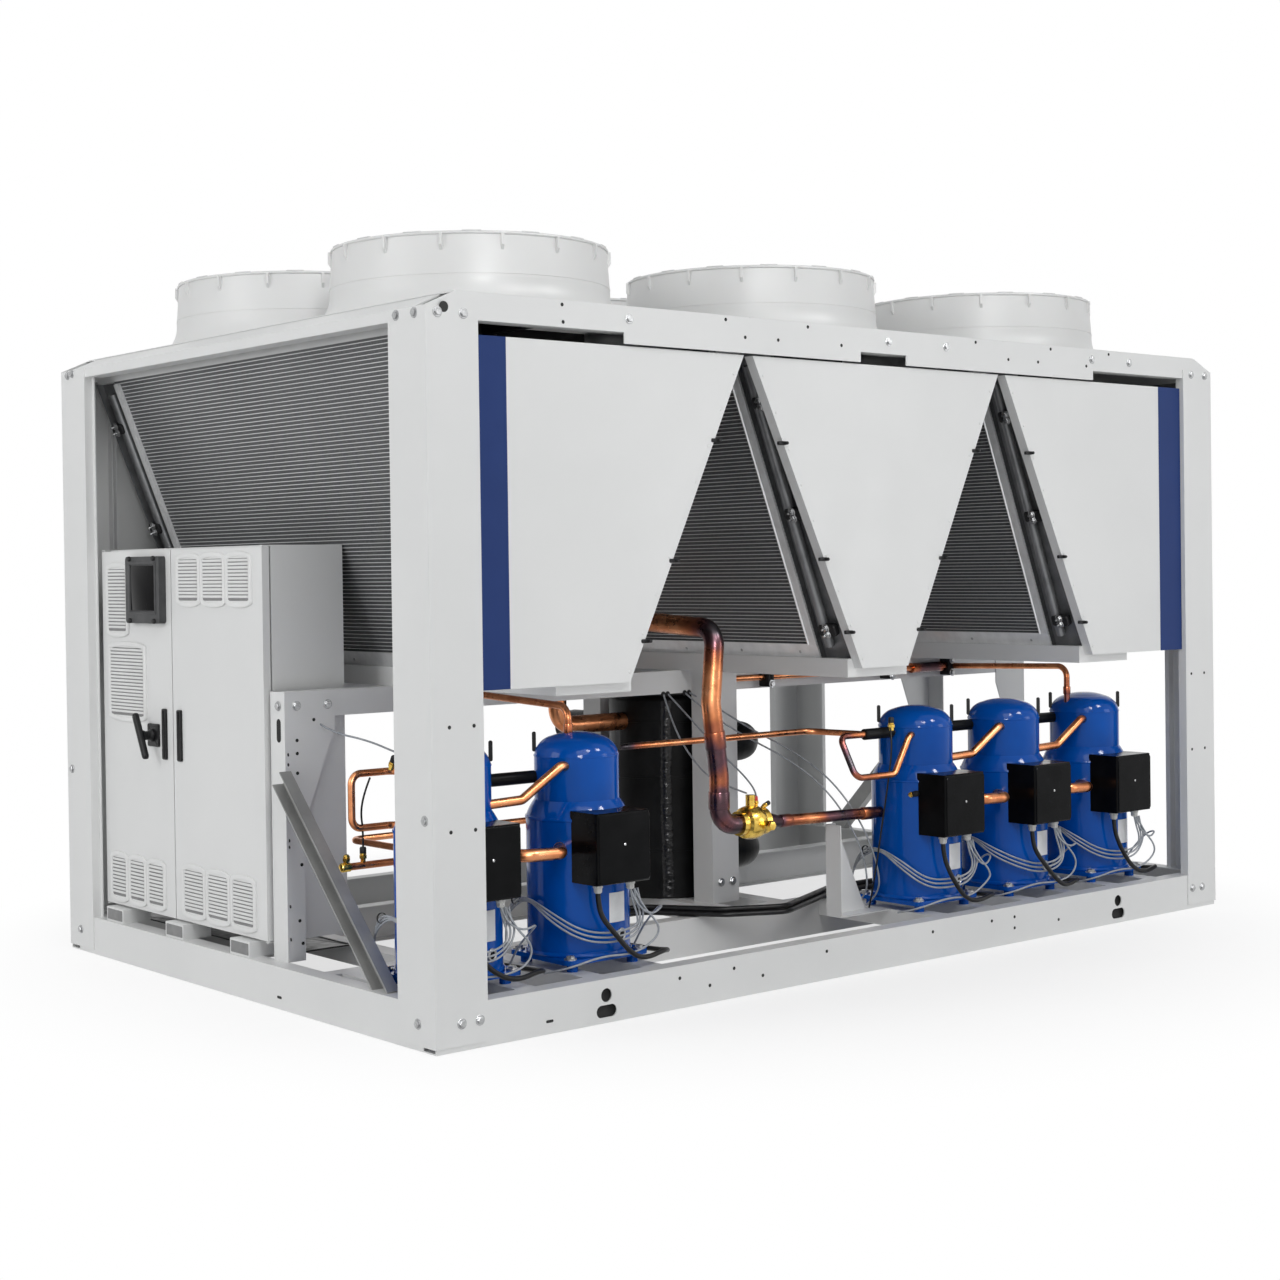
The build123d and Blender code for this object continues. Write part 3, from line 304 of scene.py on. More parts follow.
def turned(profile, sides=28):
    """A closed solid of (radius, height) points turned round Z; its ends are capped flat."""
    radius, height = np.array(profile, float).T
    angle = np.arange(sides) * 2 * np.pi / sides
    points = np.stack((
        radius[:, None] * np.cos(angle), radius[:, None] * np.sin(angle),
        np.repeat(height[:, None], sides, 1),
    ), -1).reshape(-1, 3)
    faces = strips(len(profile), sides)
    last = (len(profile) - 1) * sides
    return points, faces + [tuple(range(sides - 1, -1, -1)), tuple(range(last, last + sides))]


def pressed(outline, section):
    """A plate in X and Y: an outline moved inwards and upwards by each (inset, height) pair."""
    outline = np.array(outline, float)
    before, after = np.roll(outline, 1, 0), np.roll(outline, -1, 0)
    run = after - before
    inward = np.stack((-run[:, 1], run[:, 0]), 1) / np.linalg.norm(run, axis=1, keepdims=True)
    rows = [
        np.column_stack((outline + inward * inset, np.full(len(outline), height)))
        for inset, height in section
    ]
    count, last = len(outline), (len(section) - 1) * len(outline)
    return np.concatenate(rows), strips(len(section), count) + [
        tuple(range(count - 1, -1, -1)), tuple(range(last, last + count)),
    ]


def rounded(width, height, radius, bow=0.0):
    """A rectangle about the origin with round corners; its ends bow out by a given height."""
    corners = ((1, 1, 0), (-1, 1, 90), (-1, -1, 180), (1, -1, 270))
    points = []
    for sx, sy, start in corners:
        turn = np.radians(start + np.linspace(0, 90, 6))
        arc = np.stack((
            sx * (width / 2 - radius) + radius * np.cos(turn),
            sy * (height / 2 - bow - radius) + radius * np.sin(turn),
        ), 1)
        points.append(arc)
        if bow and (sx, sy) in ((1, 1), (-1, -1)):
            across = np.linspace(width / 2 - radius, -(width / 2 - radius), 11)[1:-1] * sx
            rise = bow * (1 - (across / (width / 2)) ** 2)
            points.append(np.stack((across, sy * (height / 2 - bow + rise)), 1))
    return np.concatenate(points)


def sheet(width, height, radius, thickness):
    """A flat plate with round corners about the origin, from 0 up to its thickness in Z."""
    return pressed(rounded(width, height, radius), [(0, 0), (0, thickness)])


def set_at(shape, matrix):
    """A shape moved by a 4 by 4 matrix."""
    matrix = np.array(matrix)
    return np.asarray(shape[0]) @ matrix[:3, :3].T + matrix[:3, 3], shape[1]


def facing(normal, place, up=(0, 0, 1)):
    """The matrix that takes a shape's Z to a normal and its Y as near as can be to up."""
    out = Vector(normal).normalized()
    across = Vector(up).cross(out).normalized()
    turn = Matrix((across, out.cross(across), out)).transposed().to_4x4()
    return Matrix.Translation(place) @ turn


def copies(shape, matrices):
    """One shape set at each of several matrices."""
    return together(*[set_at(shape, matrix) for matrix in matrices])


def piece(name, shape, surface, body="frame", angle=32.0):
    """A shaded mesh piece that rides on a body, its faces turned outwards."""
    mesh = bpy.data.meshes.new(name)
    mesh.from_pydata(np.asarray(shape[0]).tolist(), [], shape[1])
    work = bmesh.new()
    work.from_mesh(mesh)
    bmesh.ops.remove_doubles(work, verts=work.verts, dist=1e-6)
    bmesh.ops.recalc_face_normals(work, faces=work.faces)
    work.to_mesh(mesh)
    work.free()
    mesh.shade_smooth()
    mesh.set_sharp_from_angle(angle=math.radians(angle))
    mesh.materials.append(surface)
    made = bpy.data.objects.new(name, mesh)
    scene.collection.objects.link(made)
    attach(made, body)
    return made


bolt = together(
    turned([(0.0150, 0.0), (0.0150, 0.0016), (0.0140, 0.0024)], 24),
    turned([(0.0108, 0.002), (0.0108, 0.0062), (0.0088, 0.0078)], 6),
)
hole = turned([(0.0055, 0.0), (0.0055, 0.0004)], 16)
# Mid grey: painted shade, for the gaps between the vent louvres and the open ends of the cabinet's feet.
slot_shade = finish(
    "slot_shade", {"Roughness": 0.8, "Specular IOR Level": 0.1},
    ((30.0,), (0.24, 0.24, 0.24), (0.30, 0.30, 0.30)),
)
front, rear, left, right = (0, -1, 0), (0, 1, 0), (-1, 0, 0), (1, 0, 0)
post_y, beam_y, post_x = 1.1265, 1.1225, 1.802
leg_x, leg_y = -1.743, -0.2605
bolt_places = []
for end in (-1, 1):
    for way, y in ((front, -post_y), (rear, post_y)):
        bolt_places += [
            facing(way, (end * x, y, z))
            for x, z in ((1.762, 2.009), (1.676, 2.010), (1.715, 0.076), (1.654, 0.077))
        ]
    bolt_places += [
        facing((end, 0, 0), (end * post_x, y, z))
        for y, z in (
            (-0.9865, 2.010), (-1.0745, 2.009), (-1.0425, 0.075), (1.0395, 2.014),
            (1.0745, 2.010), (1.0425, 0.075), (-1.090, 0.633), (1.090, 0.633),
        )
    ]
for way, y in ((front, -beam_y), (rear, beam_y)):
    bolt_places += [facing(way, (x, y, 2.035)) for x in (-1.082, 0.02, 0.30, 1.082, 1.30)]
bolt_places += [facing(left, (leg_x, y, 0.905)) for y in (-0.225, -0.115)]
bolt_places += [facing(front, (x, leg_y, 0.905)) for x in (-1.70, -1.59)]
bolt_places += [facing(front, (x, -0.3605, 0.20)) for x in (-0.05, 0.005)]
piece("frame_bolts", copies(bolt, bolt_places), zinc)

hole_places = []
for way, y in ((front, -post_y), (rear, post_y)):
    for end in (-1, 1):
        hole_places += [facing(way, (end * x, y, z)) for x in (1.742, 1.66) for z in (0.885, 0.60)]
hole_rows = {
    2.059: (-1.33, -0.70, -0.35, 0.45, 0.85, 1.18),
    2.010: (-1.327, -0.62, -0.48, -0.20, 0.62, 0.78, 1.05),
    0.090: (-0.92, -0.70, -0.30, 0.20, 0.50, 0.62),
    0.052: (-0.80, -0.58, 0.62, 0.86),
}
for way, y in ((front, -beam_y), (rear, beam_y)):
    hole_places += [facing(way, (x, y, z)) for z, row in hole_rows.items() for x in row]
hole_places += [
    facing(left, (leg_x, -0.28, z)) for z in (0.760, 0.73, 0.655, 0.50, 0.48, 0.30, 0.20)
]
hole_places += [
    facing(front, (x, leg_y - 0.0002, z)) for x, z in (
        (-1.70, 0.800), (-1.64, 0.86), (-1.70, 0.760), (-1.70, 0.700), (-1.69, 0.42),
        (-1.70, 0.25), (-1.69, 0.18),
    )
]
# Each punched hole is a thin near-black disc on the sheet: painted shade in the open hole.
piece("punched_holes", copies(hole, hole_places), hole_shadow)

# Thin near-black sheets: painted shade in a round hole at the post's top and in slots of the leg and
# base rails.
mark = 0.0006
slit = sheet(0.026, 0.008, 0.0038, mark)
piece(
    "frame_slot_shadows",
    together(
        set_at(sheet(0.030, 0.030, 0.0145, mark), facing(front, (-1.741, -post_y, 2.024))),
        set_at(sheet(0.024, 0.072, 0.0118, mark), facing(left, (-1.742, -0.225, 0.83))),
        set_at(slit, facing(front, (-1.41, -beam_y, 0.036))),
        set_at(slit, facing(left, (-1.798, -0.30, 0.036))),
    ),
    hole_shadow,
)

# Near-black sheets inside the base rails behind the lifting holes: painted shade for the hollow rail.
lift_shadow_places = [
    facing(way, (x, y, 0.062)) for way, y in ((front, -1.104), (rear, 1.104)) for x in (-1.202, 1.202)
]
piece("lift_hole_shadows", copies(sheet(0.110, 0.100, 0.006, 0.0012), lift_shadow_places), hole_shadow)
# Grey sheets on the fronts of the cabinet's feet: painted shade in their open channel ends.
foot_shadow_places = [facing(left, (-1.788, y, 0.151)) for y in (-0.0465, 0.3795, 0.8055)]
piece("foot_channel_shadows", copies(sheet(0.108, 0.036, 0.003, mark), foot_shadow_places), slot_shade)


# Fans: moulded bell mouths with a rolled rim, fifteen ribs and clip pads under it, and dark
# seven-bladed rotors on capped hubs, hung from arms under the deck.
moulding = shader("white_moulding", {"IOR": 1.5, "Subsurface Weight": 0.02})
coloured(
    moulding, grain(moulding, 2.2, 4.0),
    [(0.25, (0.690, 0.690, 0.682)), (0.75, (0.740, 0.740, 0.735))],
)
ranged(moulding, grain(moulding, 11.0, 3.0), 0.38, 0.50)
relief(moulding, grain(moulding, 6.0, 2.0, (1, 1, 0.3)), 0.0012)
finish_nodes(moulding, "fan_shrouds_1", "fan_shrouds_2", "fan_shrouds_3")

blade_plastic = finish(
    "dark_moulding", {"IOR": 1.5}, ((30.0,), (0.022, 0.022, 0.023), (0.036, 0.036, 0.037)),
    ((80.0,), 0.36, 0.52), ((900.0,), 0.00006),
)
finish_nodes(blade_plastic, "fan_rotors", "fan_motors", "motor_arms")


def ring(profile, sides=72):
    """A closed ring: a loop of (radius, height) points turned round Z."""
    points, _ = turned(profile + profile[:1], sides)
    return points, strips(len(profile) + 1, sides)


def swept(outline, start, end):
    """A closed outline of 3-D points carried from one offset to another, with flat ends."""
    outline = np.array(outline, float)
    points = np.concatenate((outline + start, outline + end))
    count = len(outline)
    return points, strips(2, count) + [tuple(range(count - 1, -1, -1)), tuple(range(count, 2 * count))]


rim = ring([
    (0.4195, 2.2968), (0.4195, 2.2895), (0.4262, 2.2875), (0.4292, 2.2882),
    (0.4304, 2.2910), (0.4296, 2.2945), (0.4268, 2.2966),
], 96)
seam_line = ring([(0.4325, 2.1720), (0.4346, 2.1724), (0.4346, 2.1736), (0.4325, 2.1740)], 96)
rib = swept(
    [(0.4235, 0, 2.2900), (0.4375, 0, 2.2900), (0.4375, 0, 2.2560), (0.4275, 0, 2.2400)],
    (0, -0.0042, 0), (0, 0.0042, 0),
)
pad = set_at(
    pressed(rounded(0.010, 0.058, 0.0048), [(0, 0), (0, 0.002), (0.002, 0.0034)]),
    Matrix.Translation((0.4245, 0, 2.2955)),
)
rib_count = 15
shroud_trim = together(rim, seam_line, *[
    set_at(part, Matrix.Rotation(math.radians(360 / rib_count * step + shift), 4, "Z"))
    for step in range(rib_count) for part, shift in ((rib, 7), (pad, 19))
])
hub_cap = turned([
    (0.104, 2.153), (0.1042, 2.1575), (0.098, 2.1640), (0.080, 2.1685), (0.045, 2.1705),
    (0.042, 2.1735), (0.030, 2.1745), (0.006, 2.1750),
], 48)
module_x, fan_y = (-1.194, 0.0, 1.194), 0.492
centres = [(x, y) for x in module_x for y in (-fan_y, fan_y)]
fan_places = [Matrix.Translation((x, y, 0)) for x, y in centres]
piece("shroud_rims", copies(shroud_trim, fan_places), moulding)
piece("hub_caps", copies(hub_cap, fan_places), blade_plastic)

deck_screw = turned([(0.009, 0.0), (0.009, 0.0014), (0.0062, 0.0036)], 16)
flange_radius, flange_z = 0.4755, 2.0770
flange_places = [
    Matrix.Translation((x + flange_radius * math.cos(a), y + flange_radius * math.sin(a), flange_z))
    for x, y in centres for a in np.radians(np.arange(8) * 45 + 22.5)
]
piece("shroud_screws", copies(deck_screw, flange_places), zinc)


# Coils: finned slabs leaning in a V, with flat tubes that stand proud of the fins as fine ribs
# along the machine's depth, edged with screwed galvanised strips, in dark sheet frames at both
# ends, where rubber blocks clamp the headers.
fins = finish(
    "coil_fins", {"Metallic": 0.3},
    ((260.0, 3.0, (1, 1, 0.2)), (0.060, 0.062, 0.064), (0.115, 0.118, 0.121)),
    ((3.0,), 0.45, 0.60),
)
flat_tube = finish(
    "coil_tubes", {"Metallic": 0.25},
    ((6.0, 4.0, (1, 0.2, 1)), (0.66, 0.665, 0.67), (0.80, 0.805, 0.81)),
    ((5.0,), 0.34, 0.48),
)

slab_foot, slab_top, slab_slope, slab_depth = 1.008, 1.983, 0.393, 0.034
slab_out, half_span, rib_height = 0.120, 0.936, 0.0028
pitch_z, rib_low, rib_high, flank = 0.0120, 0.0042, 0.0079, 0.0008
feet = slab_foot + np.arange(int((slab_top - slab_foot) / pitch_z))[:, None] * pitch_z
levels = (feet + (rib_low, rib_low + flank, rib_high - flank, rib_high)).ravel()
heights = np.array([slab_foot, *levels, slab_top])
depths = np.array([rib_height, *(rib_height, 0, 0, rib_height) * len(feet), rib_height])
outer = slab_out + (heights - slab_foot) * slab_slope
loop_x = np.concatenate((outer - depths, (outer - slab_depth + depths)[::-1]))
loop_z = np.concatenate((heights, heights[::-1]))
for number, centre in enumerate(module_x, start=1):
    pair = []
    for sign in (-1, 1):
        loop = np.stack((centre + sign * loop_x, np.zeros(len(loop_x)), loop_z), 1)
        pair.append(swept(loop, (0, -half_span, 0), (0, half_span, 0)))
    slabs = piece(f"coil_slabs_{number}", together(*pair), fins, angle=20)
    slabs.data.materials.append(flat_tube)
    places = np.array([polygon.center for polygon in slabs.data.polygons])
    lean = np.abs(places[:, 0] - centre) - slab_out - (places[:, 2] - slab_foot) * slab_slope
    proud = (np.abs(lean + slab_depth / 2) > slab_depth / 2 - 0.0006).astype(np.int32)
    slabs.data.polygons.foreach_set("material_index", proud)
    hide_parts(f"coil_pair_{number}")

galvanised = finish(
    "galvanised_sheet", {"Metallic": 0.45}, ((22.0, 5.0), (0.70, 0.705, 0.71), (0.82, 0.825, 0.83)),
    ((60.0,), 0.34, 0.52), ((300.0,), 0.00006),
)


def on_slab(centre, sign, z, proud):
    """A point at Y 0 on a slab's outer face, which moves out by the slope times the rise."""
    return Vector((centre + sign * (slab_out + (z - slab_foot) * slab_slope + proud), 0, z))


def off_slab(sign):
    """The direction square to a slab's outer face: level, tilted down by the lean."""
    return Vector((sign * math.cos(lean_angle), 0, -math.sin(lean_angle)))


lean_angle = math.atan(slab_slope)
sunk, strip_low, strip_high = -0.004, 1.053, 1.975
edging, edge_screws = [], []
for centre in module_x:
    for sign in (-1, 1):
        foot = [on_slab(centre, sign, z, out) for z, out in (
            (1.0085, sunk), (1.0085, 0.0035), (1.040, 0.0035), (1.050, 0.0060), (strip_low, 0.0060),
            (strip_low, sunk),
        )]
        edging.append(swept(foot, (0, -half_span, 0), (0, half_span, 0)))
        low, high = on_slab(centre, sign, strip_low, sunk), on_slab(centre, sign, strip_high, sunk)
        for face in (-1, 1):
            strip = [
                low + Vector((0, face * y, 0)) + off_slab(sign) * rise for y, rise in (
                    (half_span, 0.0), (half_span, 0.0085), (0.904, 0.0085), (0.901, 0.0115),
                    (0.898, 0.0115), (0.898, 0.0),
                )
            ]
            edging.append(swept(strip, (0, 0, 0), high - low))
        screw = on_slab(centre, sign, 1.026, 0.0035)
        for y in np.linspace(-0.85, 0.85, 7):
            edge_screws.append(facing(off_slab(sign), screw + Vector((0, y, 0)), (0, 1, 0)))
piece("coil_edging", together(*edging), galvanised)

end_sheet = finish(
    "dark_sheet", {"Metallic": 0.5}, ((14.0, 4.0), (0.16, 0.163, 0.17), (0.26, 0.265, 0.27)),
    ((30.0,), 0.38, 0.52),
)
finish_nodes(end_sheet, "coil_end_frames", "coil_headers")

rubber = finish(
    "black_rubber", {"Specular IOR Level": 0.2},
    ((60.0,), (0.010, 0.010, 0.011), (0.022, 0.022, 0.023)),
    ((45.0,), 0.42, 0.60), ((900.0,), 0.00008),
)

header_y, clamp_rise = 1.012, 0.020
clamp = pressed(
    rounded(0.074, 0.040, 0.010), [(0, 0), (0, 0.016), (0.003, clamp_rise), (0.010, 0.021)],
)
stud = together(bolt, turned([(0.0045, 0.006), (0.0045, 0.018), (0.0035, 0.020)], 12))
clamp_places, stud_places = [], []
for centre in module_x:
    for sign in (-1, 1):
        way, up = off_slab(sign), Vector((sign * math.sin(lean_angle), 0, math.cos(lean_angle)))
        for face in (-1, 1):
            for z in (1.83, 1.48, 1.105):
                place = on_slab(centre, sign, z, -0.006) + Vector((0, face * header_y, 0))
                clamp_places.append(facing(way, place, up))
                stud_places += [
                    facing(way, place + way * clamp_rise + up * offset, up) for offset in (-0.011, 0.011)
                ]
piece("header_clamps", copies(clamp, clamp_places), rubber)
piece("clamp_studs", copies(stud, stud_places), zinc)


# Side panels: white folded pans with a dark blue stripe down each outer edge, held along their
# slanted sides by small black catches and painted screws.
stripe = finish(
    "stripe_paint", {"Specular IOR Level": 0.12},
    ((5.0,), (0.0125, 0.036, 0.150), (0.0155, 0.041, 0.164)),
    ((20.0,), 0.34, 0.44),
)
finish_nodes(stripe, "accent_stripes")

catch = together(
    set_at(
        pressed(rounded(0.034, 0.012, 0.0045), [(0, 0), (0, 0.008), (0.0025, 0.0105)]),
        Matrix.Translation((0, 0, -0.006)),
    ),
    set_at(
        turned([(0.0055, 0.0), (0.0055, 0.015), (0.004, 0.017)], 14),
        Matrix.Translation((0.008, 0, 0)),
    ),
)
panel_y, panel_top, panel_drop, top_half, taper = 1.1105, 1.957, 0.979, 0.579, 0.471


def slant_place(way, y, centre, sign, fraction, out):
    """The matrix of a fitting a fraction of the way down a panel's slanted side, out from it."""
    x = centre + sign * (top_half - taper * fraction + out)
    return facing(way, (x, y, panel_top - panel_drop * fraction))


catch_places, screw_places = [], []
for way, y in ((front, -panel_y), (rear, panel_y)):
    for centre, sides in zip(module_x, ((1,), (-1, 1), (-1,))):
        for sign in sides:
            edge = (way, y, centre, sign)
            catch_places += [slant_place(*edge, fraction, 0.004) for fraction in (0.27, 0.64, 0.88)]
            screw_places += [slant_place(*edge, step, -0.016) for step in np.linspace(0.06, 0.97, 9)]
piece("panel_catches", copies(catch, catch_places), rubber)
panel_screw = turned([(0.0052, 0.0), (0.0052, 0.0008), (0.0034, 0.0020)], 14)
piece("panel_screws", copies(panel_screw, screw_places), paint)
piece("edging_screws", copies(panel_screw, edge_screws), zinc)


# Cabinet doors: moulded vent covers with bowed ends over rows of louvres, a framed display window
# with four knobs, black pulls and the isolator's lever, and a black sheet on the base under the
# cabinet, painted shade for the gap beneath it.
satin_black = finish(
    "satin_black", {"Specular IOR Level": 0.2}, ((30.0,), (0.010, 0.010, 0.011), (0.018, 0.018, 0.019)),
    ((40.0,), 0.28, 0.40), ((700.0,), 0.00006),
)
light_moulding = finish(
    "vent_moulding", {"IOR": 1.49}, ((6.0,), (0.730, 0.732, 0.725), (0.765, 0.766, 0.760)),
    ((18.0,), 0.36, 0.46), ((600.0,), 0.00006),
)

door_x, vent_side, vent_end, slat_pitch = -1.757, 0.018, 0.026, 0.0118
vent_rim = [
    (0, 0), (0, 0.0052), (0.0012, 0.0070), (0.0032, 0.0079), (0.0120, 0.0079), (0.0150, 0.0070),
    (0.0166, 0.0038),
]


def vent(left_y, right_y, z0, z1):
    """A cover with a rounded raised rim, its backing and its louvres, facing the -X side."""
    width, height = left_y - right_y, z1 - z0
    place = facing(left, (door_x, (left_y + right_y) / 2, (z0 + z1) / 2))
    cover = set_at(pressed(rounded(width, height, 0.011, bow=0.010), vent_rim), place)
    wide, tall = width - 2 * vent_side, height - 2 * vent_end
    backing = set_at(
        pressed(rounded(wide + 0.006, tall + 0.008, 0.005), [(0, 0.0034), (0, 0.0041)]), place,
    )
    count = round(tall / slat_pitch)
    slat = np.array([
        (0, -0.0042, 0.0038), (0, -0.0038, 0.0056), (0, -0.0016, 0.0072), (0, 0.0015, 0.0074),
        (0, 0.0038, 0.0062), (0, 0.0042, 0.0038),
    ])
    slats = [
        set_at(
            swept(
                slat + (0, (step + 0.5) * tall / count - tall / 2 + 0.0034, 0), (-wide / 2, 0, 0),
                (wide / 2, 0, 0),
            ),
            place,
        )
        for step in range(count)
    ]
    return cover, backing, together(*slats)


def vent_row(left_y, right_y, count, z0, z1):
    """Like covers side by side."""
    width = (left_y - right_y) / count
    return [
        vent(left_y - i * width - 0.001, left_y - (i + 1) * width + 0.001, z0, z1) for i in range(count)
    ]


vents = {
    "left": [
        vent(0.8885, 0.7235, 1.098, 1.353), vent(0.8775, 0.6045, 0.812, 1.085),
        *vent_row(0.8885, 0.4855, 3, 0.190, 0.365),
    ],
    "right": [
        *vent_row(0.3815, -0.1065, 3, 1.203, 1.380), *vent_row(0.3715, -0.1045, 3, 0.192, 0.372),
    ],
}
for hand, row in vents.items():
    covers, backings, slats = zip(*row)
    body = f"{hand}_door"
    cover = piece(f"vents_{hand}", together(*covers), light_moulding, body, 40)
    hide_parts(f"vent_covers_{hand}")
    # The backings' grey is painted shade showing between the louvres.
    piece(f"vent_backings_{hand}", together(*backings), slot_shade, body)
    piece(f"vent_louvres_{hand}", together(*slats), light_moulding, body, 50)

grey_moulding = finish(
    "grey_moulding", {"Specular IOR Level": 0.12},
    ((20.0,), (0.060, 0.061, 0.063), (0.080, 0.081, 0.083)),
    ((60.0,), 0.34, 0.44), ((900.0,), 0.00005),
)
finish_nodes(grey_moulding, "display_panel")
screen_glass = finish(
    "screen_glass", {"Specular IOR Level": 0.06},
    ((2.0,), (0.003, 0.003, 0.0035), (0.006, 0.006, 0.0065)),
    ((60.0,), 0.05, 0.10),
)
display_x, display_y, display_z = -1.778, 0.5795, 1.266
display_turn = facing(left, (display_x, display_y, display_z))
window_frame = pressed(
    rounded(0.196, 0.176, 0.006),
    [(0, 0), (0, 0.0052), (0.0025, 0.0065), (0.009, 0.0065), (0.0105, 0.0030)],
)
piece(
    "display_window", set_at(window_frame, display_turn), grey_moulding, "left_door",
)
screen = pressed(rounded(0.166, 0.150, 0.004), [(0, 0), (0, 0.0036), (0.0010, 0.0042)])
piece("display_screen", set_at(screen, display_turn), screen_glass, "left_door")
# A black sheet on the base under the cabinet: painted shade for the gap beneath it.
pan = pressed(
    rounded(0.246, 1.050, 0.004),
    [(0, 0), (0, 0.0030), (0.0012, 0.0040), (0.008, 0.0040), (0.009, 0.0014)],
)
piece("cabinet_under_shadow", set_at(pan, Matrix.Translation((-1.560, 0.380, 0.1272))), satin_black)
knob = turned([(0.0085, 0.0), (0.0085, 0.006), (0.0070, 0.0085)], 18)
knob_places = [
    facing(left, (display_x - 0.0035, display_y + y, z)) for y in (-0.086, 0.086) for z in (1.157, 1.364)
]
piece("display_knobs", copies(knob, knob_places), rubber, "left_door")

gloss_black = finish(
    "gloss_black", {"Specular IOR Level": 0.07},
    ((12.0,), (0.0025, 0.0028, 0.0032), (0.0058, 0.0060, 0.0066)),
    ((16.0, 4.0), 0.12, 0.24), ((8.0,), 0.0008),
)

pull_z, switch_place = 0.784, (door_x, 0.5545, 0.777)
pull = pressed(rounded(0.028, 0.168, 0.006), [
    (0, 0), (0, 0.0062), (0.0014, 0.0078), (0.0052, 0.0080), (0.0066, 0.0052), (0.0086, 0.0040),
])
plate = pressed(rounded(0.076, 0.076, 0.006), [(0, 0), (0, 0.0058), (0.0018, 0.0078), (0.008, 0.0080)])
fittings = piece(
    "door_fittings",
    together(
        set_at(pull, facing(left, (door_x, 0.4775, pull_z))),
        set_at(plate, facing(left, switch_place)),
    ),
    satin_black, "left_door",
)
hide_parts("door_fittings_left")
grip = piece(
    "door_pull", set_at(pull, facing(left, (door_x, 0.3745, pull_z))), satin_black, "right_door",
)
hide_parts("door_grip_right")

lever_turn = Matrix.Rotation(math.radians(27), 4, "Z")
lever_outline = rounded(0.024, 0.166, 0.0119)
lever_outline[:, 0] *= 1 + 0.22 * np.cos(lever_outline[:, 1] / 0.083 * 2.2)
lever_grip = pressed(lever_outline, [
    (0.004, 0.0425), (0.001, 0.0445), (0, 0.048), (0, 0.055), (0.0012, 0.0590), (0.0046, 0.0615),
    (0.008, 0.062),
])
hub = turned([
    (0.0210, 0.0090), (0.0210, 0.0150), (0.0185, 0.0170), (0.0150, 0.0220), (0.0150, 0.0360),
    (0.0180, 0.0400), (0.0180, 0.0440),
], 32)
lever = piece(
    "isolator_lever",
    set_at(together(set_at(lever_grip, lever_turn), hub), facing(left, switch_place)),
    satin_black, "switch",
)
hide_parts("switch_lever")


# Compressors: drawn steel shells under glossy deep blue paint, with a rolled weld at the
# shoulder and the foot, bolted to their base on rubber bushes, each with a black terminal box.
blue = finish(
    "blue_enamel", {"Specular IOR Level": 0.17},
    ((4.0, 4.0), (0.0005, 0.070, 0.370), (0.0010, 0.096, 0.480)),
    ((14.0,), 0.07, 0.12), ((9.0, 2.0), 0.0010),
)
finish_nodes(blue, *[f"compressor_{n}" for n in range(1, 6)])

compressor_x, compressor_y = (-1.564, -1.088, 0.422, 0.894, 1.364), -0.8545
weld = together(
    ring([(0.1540, 0.5640), (0.1572, 0.5662), (0.1578, 0.5700), (0.1562, 0.5738), (0.1538, 0.5750)]),
    ring([(0.1540, 0.1660), (0.1590, 0.1660), (0.1600, 0.1700), (0.1575, 0.1765), (0.1542, 0.1780)]),
    ring([(0.1270, 0.7480), (0.1291, 0.7492), (0.1294, 0.7520), (0.1286, 0.7546), (0.1268, 0.7550)]),
)
lug = set_at(
    pressed(rounded(0.012, 0.060, 0.0055), [(0, -0.003), (0, 0.003)]),
    Matrix.Translation((0, 0.022, 0)),
)
lug_face, lug_row = Vector((0.643, 0.766, 0)), Vector((0.766, -0.643, 0))
lug_radius, lug_z = 0.127, 0.770
lug_places = [
    facing(lug_face, Vector((x, compressor_y, lug_z)) + lug_row * sign * lug_radius)
    for x in compressor_x for sign in (-1, 1)
]
foot_places = [
    Matrix.Translation((x + dx, compressor_y + dy, 0.167))
    for x in compressor_x for dx in (-0.132, 0.132) for dy in (-0.125, 0.125)
]
shell_places = [Matrix.Translation((x, compressor_y, 0)) for x in compressor_x]
piece("compressor_welds", copies(weld, shell_places), blue)
piece("lifting_lugs", copies(lug, lug_places), satin_black)
foot_bolt = together(set_at(bolt, Matrix.Scale(1.25, 4)), turned([(0.019, -0.002), (0.019, 0.0004)], 24))
piece("foot_bolts", copies(foot_bolt, foot_places), zinc)

label_stock = finish(
    "blank_label", {"IOR": 1.45}, ((30.0,), (0.74, 0.75, 0.76), (0.82, 0.83, 0.84)),
    ((50.0,), 0.28, 0.36),
)


def walled(first, second, rows, columns):
    """A thin closed shape between two grids of points, joined all along their edges."""
    count = rows * columns
    faces = strips(rows, columns, wrap=False)
    edge = [
        *range(columns), *range(2 * columns - 1, count, columns),
        *range(count - 2, count - columns - 1, -1), *range(count - 2 * columns, 0, -columns),
    ]
    return np.concatenate((first, second)), [
        *faces, *[[i + count for i in face] for face in faces],
        *[(a, b, b + count, a + count) for a, b in zip(edge, edge[1:] + edge[:1])],
    ]


turn, tall = np.meshgrid(np.linspace(-0.30, 0.28, 9), (0.262, 0.350))
label = walled(*[
    np.stack((radius * np.sin(turn), -radius * np.cos(turn), tall), -1).reshape(-1, 3)
    for radius in (0.1552, 0.1560)
], 2, 9)
label_places = [Matrix.Translation((x + 0.012, compressor_y, 0)) for x in compressor_x]
piece("shell_labels", copies(label, label_places), label_stock)

sight_ring = turned(
    [(0.0200, -0.004), (0.0200, 0.004), (0.0170, 0.0060), (0.0130, 0.0060), (0.0115, 0.0035)], 28,
)
sight_eye = turned([(0.0112, 0.0020), (0.0112, 0.0042)], 24)
eye_places = [
    facing((0.26, -0.966, 0), (x + 0.0405, compressor_y - 0.1500, 0.222)) for x in compressor_x
]
piece("sight_rings", copies(sight_ring, eye_places), zinc)
piece("sight_eyes", copies(sight_eye, eye_places), screen_glass)

